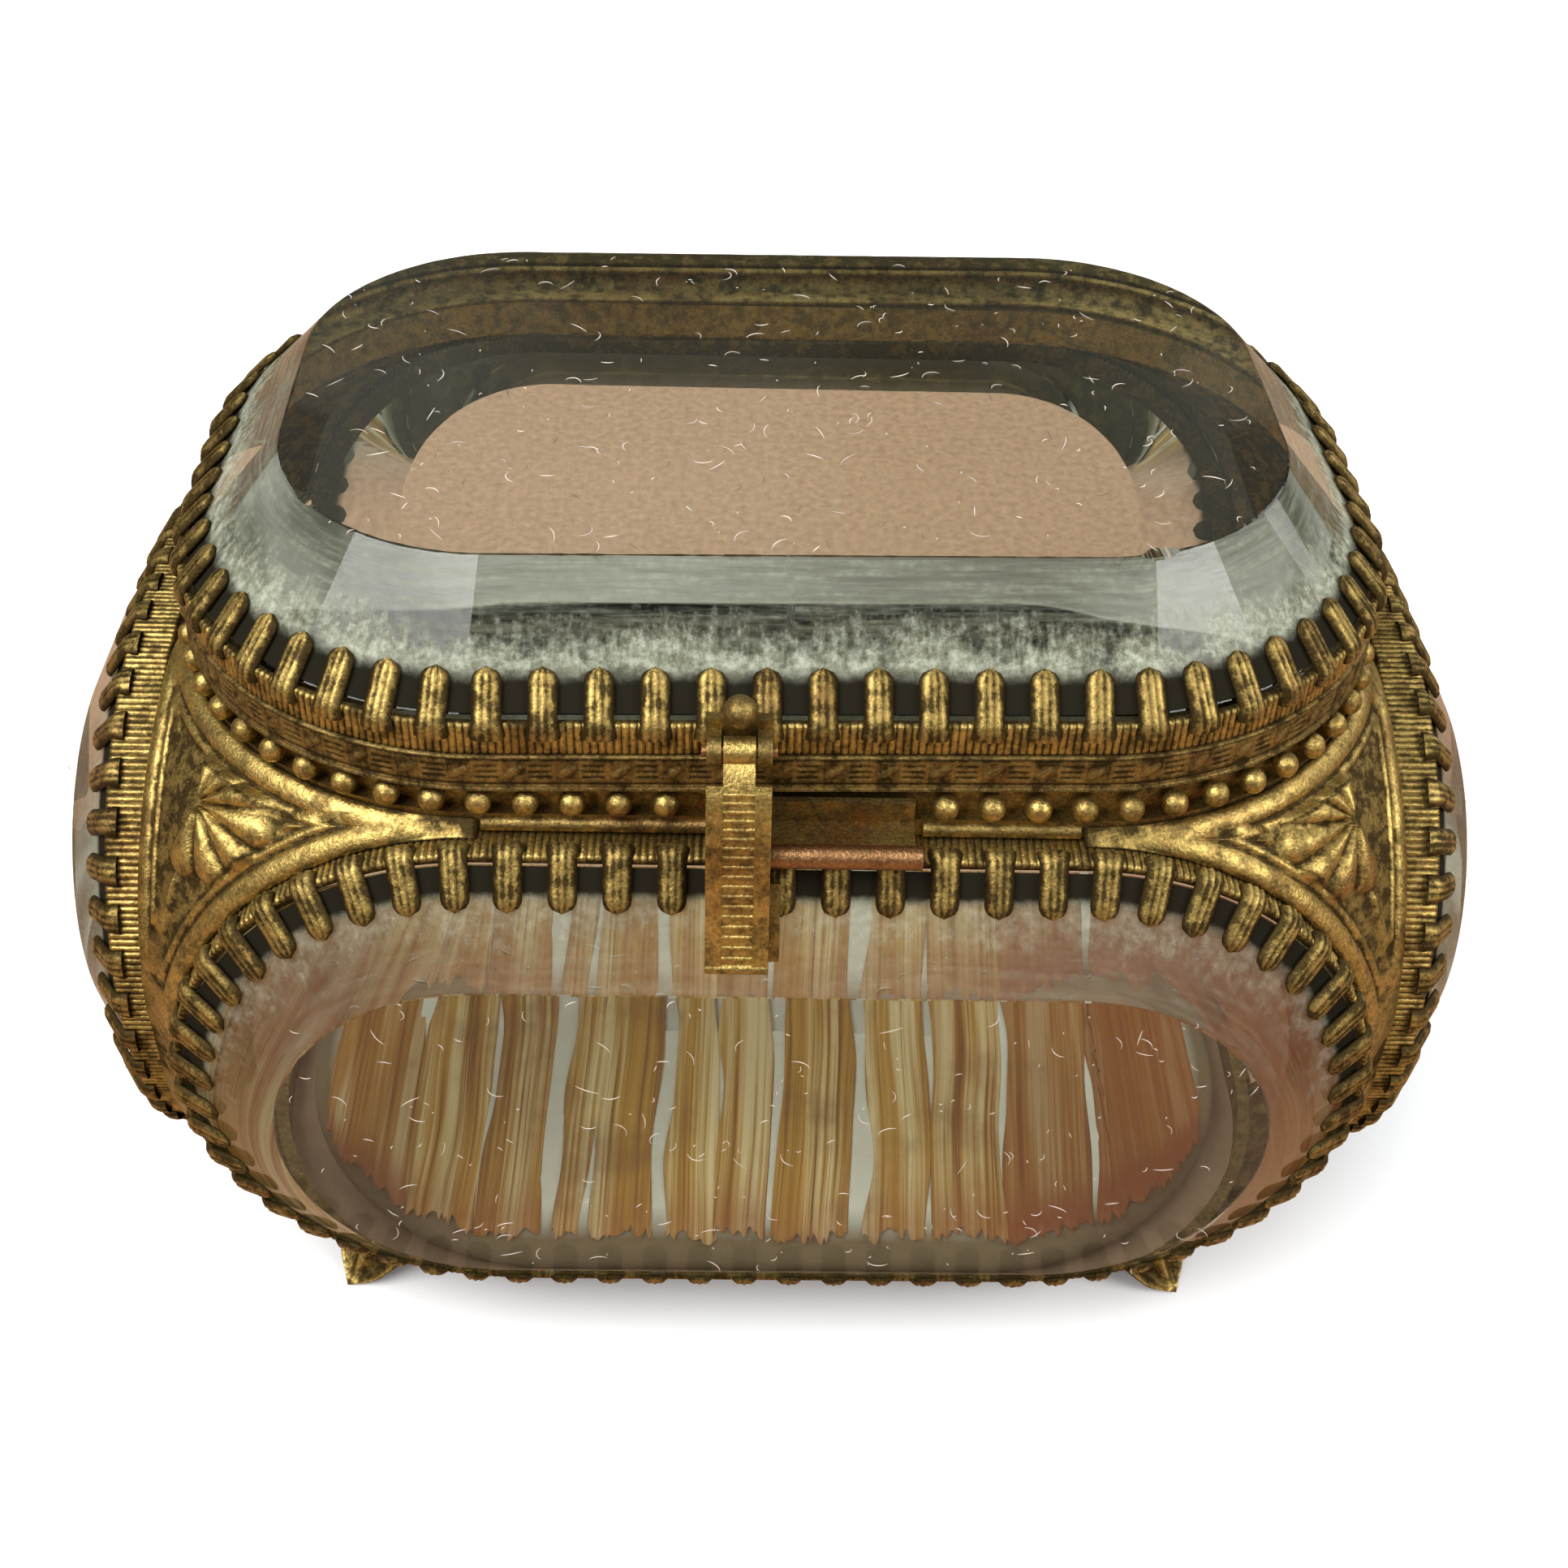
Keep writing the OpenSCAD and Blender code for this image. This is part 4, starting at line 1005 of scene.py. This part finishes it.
class CASKET_OT_collets(Operator):
    """Makes the ribbed collets and their claws"""

    bl_idname = "casket.collets"
    bl_label = "Collets"

    def execute(self, context):
        for side in SIDES:
            make_piece(
                side + "_clawed_collet", [ribbed_wall(side), claws(side)], "Gilt brass",
                "lid" if side == "lid" else "casket", [side + "_collet"],
            )
        return {"FINISHED"}


class CASKET_OT_rims(Operator):
    """Makes the lid's chased band and the beads, and finishes the rim and the base"""

    bl_idname = "casket.rims"
    bl_label = "Band, beads and rims"

    def execute(self, context):
        make_piece("chased_band", [lid_band()], "Worn brass", "lid", ["lid_frame"])
        make_piece("beading", [beads()], "Gilt brass", "casket", ["bead_row"], weld=True)
        finish_nodes("Worn brass", "top_rim", "base_ring")
        finish_nodes("Brown lacquer", "base_plate")
        return {"FINISHED"}


class CASKET_OT_corners(Operator):
    """Makes the eight stamped corner pieces"""

    bl_idname = "casket.corners"
    bl_label = "Corners"

    def execute(self, context):
        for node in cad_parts:
            if node.startswith("corner_"):
                make_piece(
                    "stamped_" + node, [corner_grid(node)], "Gilt brass", "casket", [node],
                    weld=True,
                )
        return {"FINISHED"}


def finish_nodes(finish_name, *nodes):
    """Gives carried-over pieces a finish."""
    for node in nodes:
        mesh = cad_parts[node].data
        mesh.materials.clear()
        mesh.materials.append(material(finish_name))


class CASKET_OT_fittings(Operator):
    """Finishes the feet, the hinge, the clasp and the catch"""

    bl_idname = "casket.fittings"
    bl_label = "Fittings"

    def execute(self, context):
        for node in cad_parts:
            if node.startswith("foot_"):
                make_piece(
                    "leaf_" + node, [foot_grid(node)], "Gilt brass", "casket", [node], weld=True
                )
        finish_nodes("Gilt brass", "clasp_strap", "hinge_pin")
        finish_nodes(
            "Worn brass", "hinge_leaf_body", "hinge_leaf_lid", "clasp_lug", "clasp_spring",
            "catch_plate",
        )
        finish_nodes("Coppery brass", "clasp_pin", "catch_bar")
        return {"FINISHED"}


class CASKET_OT_cushion(Operator):
    """Makes the cushion's wadding and the split silk over it"""

    bl_idname = "casket.cushion"
    bl_label = "Cushion and silk"

    def execute(self, context):
        pad = make_piece(
            "wadding_cushion", [cushion_grid()], "Wadding", "casket", ["cushion_pad"]
        )
        silk = make_piece("split_silk", silk_grids(), "Gold silk", "casket", ["silk_cover"])
        wall = silk.modifiers.new("Thickness", "SOLIDIFY")
        wall.thickness = 0.1 * MM
        return {"FINISHED"}


def area_light(name, place, target, size, watts, tone=(1, 1, 1)):
    """A square lamp at a place, in metres, turned towards a target."""
    lamp = bpy.data.lights.new(name, "AREA")
    lamp.shape, lamp.size, lamp.energy, lamp.color = "SQUARE", size, watts, tone
    held = bpy.data.objects.new(name, lamp)
    held.location = place
    held.visible_transmission = False
    held.rotation_euler = (Vector(place) - Vector(target)).to_track_quat("Z", "Y").to_euler()
    bpy.context.scene.collection.objects.link(held)


def make_camera():
    """The photograph's camera: its turn round the casket, rise, roll, distance and frame shift."""
    image, sensor = 1932, 36
    focal, centre_x, centre_y = 2478.71, 965.33, 969.99
    turn, rise, roll = (math.radians(d) for d in (-1.86, 40.97, 2.09))
    back = Vector((
        math.sin(turn) * math.cos(rise), -math.cos(turn) * math.cos(rise), math.sin(rise)
    ))
    right = Vector((math.cos(turn), math.sin(turn), 0))
    up = back.cross(right)
    level = right * math.cos(roll) + up * math.sin(roll)
    upright = up * math.cos(roll) - right * math.sin(roll)
    middle, distance = Vector((0.99, 0, 35.1)), 175.97
    place = (middle + back * distance) * MM
    data = bpy.data.cameras.new("Camera")
    data.sensor_width = sensor
    data.lens = focal / image * sensor
    data.shift_x = (image / 2 - centre_x) / image
    data.shift_y = (centre_y - image / 2) / image
    data.clip_start, data.clip_end = 0.01, 20
    camera = bpy.data.objects.new("Camera", data)
    axes = Matrix((level, upright, back)).transposed().to_4x4()
    camera.matrix_world = Matrix.Translation(place) @ axes
    bpy.context.scene.collection.objects.link(camera)
    bpy.context.scene.camera = camera


def make_floor():
    """The table that the casket stands on, a plain square."""
    mesh = bpy.data.meshes.new("table")
    mesh.from_pydata([(-3, -3, 0), (3, -3, 0), (3, 3, 0), (-3, 3, 0)], [], [(0, 1, 2, 3)])
    floor = bpy.data.objects.new("table", mesh)
    bpy.context.scene.collection.objects.link(floor)
    mesh.materials.append(material("Table"))


def make_world():
    """Soft light from all round: white to the camera, dimmer at the horizon than overhead."""
    world = bpy.data.worlds.new("Room")
    bpy.context.scene.world = world
    world.use_nodes = True
    tree = world.node_tree
    tree.nodes.clear()
    way = places(tree, "Generated")
    height = add(tree, "ShaderNodeSeparateXYZ", Vector=way).outputs[2]
    rise = stepped(tree, height, -0.1, 0.9)
    broad = noise(tree, way, 2.2, 2, 0.5)
    room = mixed(tree, stepped(tree, broad, 0.42, 0.6), (0.08, 0.08, 0.055, 1), (0.36, 0.365, 0.3, 1))
    soft = mixed(tree, rise, (0.24, 0.24, 0.23, 1), (0.62, 0.64, 0.66, 1))
    diffuse = add(tree, "ShaderNodeLightPath").outputs["Is Diffuse Ray"]
    soft = mixed(tree, diffuse, room, soft)
    seen = add(tree, "ShaderNodeLightPath").outputs["Is Camera Ray"]
    shader = add(tree, "ShaderNodeBackground", Color=mixed(tree, seen, soft, (1, 1, 1, 1)))
    end = tree.nodes.new("ShaderNodeOutputWorld")
    tree.links.new(shader.outputs[0], end.inputs["Surface"])


class CASKET_OT_stage(Operator):
    """Makes the camera, the lamps, the room's light and the table"""

    bl_idname = "casket.stage"
    bl_label = "Stage"

    def execute(self, context):
        make_camera()
        make_floor()
        make_world()
        target = (0, 0, 0.035)
        area_light("Key", (-0.45, -0.35, 0.8), target, 0.75, 12)
        area_light("Fill", (0.75, -0.4, 0.6), target, 0.5, 5.5)
        area_light("Back", (1.1, 0.7, 0.7), target, 0.8, 4.5)
        context.scene.view_settings.view_transform = "Standard"
        return {"FINISHED"}


class CASKET_PT_panel(Panel):
    """Sizes, colours and pieces of the casket"""

    bl_label = "Casket"
    bl_idname = "CASKET_PT_panel"
    bl_space_type = "VIEW_3D"
    bl_region_type = "UI"
    bl_category = "Casket"

    def draw(self, context):
        for operator in OPERATORS:
            self.layout.operator(operator.bl_idname)
        for group in (context.scene.casket_sizes, context.scene.casket_finish):
            for name in group.bl_rna.properties.keys():
                if name not in ("rna_type", "name"):
                    self.layout.prop(group, name)


OPERATORS = (
    CASKET_OT_stage, CASKET_OT_glasses, CASKET_OT_collets, CASKET_OT_rims, CASKET_OT_corners,
    CASKET_OT_fittings, CASKET_OT_cushion,
)
CLASSES = (CasketSizes, CasketFinish) + OPERATORS + (CASKET_PT_panel,)


def register():
    """Registers the classes and hangs the property groups on the scene."""
    for one in CLASSES:
        bpy.utils.register_class(one)
    bpy.types.Scene.casket_sizes = PointerProperty(type=CasketSizes)
    bpy.types.Scene.casket_finish = PointerProperty(type=CasketFinish)


def unregister():
    """Undoes register."""
    del bpy.types.Scene.casket_finish
    del bpy.types.Scene.casket_sizes
    for one in reversed(CLASSES):
        bpy.utils.unregister_class(one)


def main():
    """Builds everything in order."""
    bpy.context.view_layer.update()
    register()
    bpy.ops.casket.stage()
    bpy.ops.casket.glasses()
    bpy.ops.casket.collets()
    bpy.ops.casket.rims()
    bpy.ops.casket.corners()
    bpy.ops.casket.fittings()
    bpy.ops.casket.cushion()


if __name__ == "__main__":
    main()
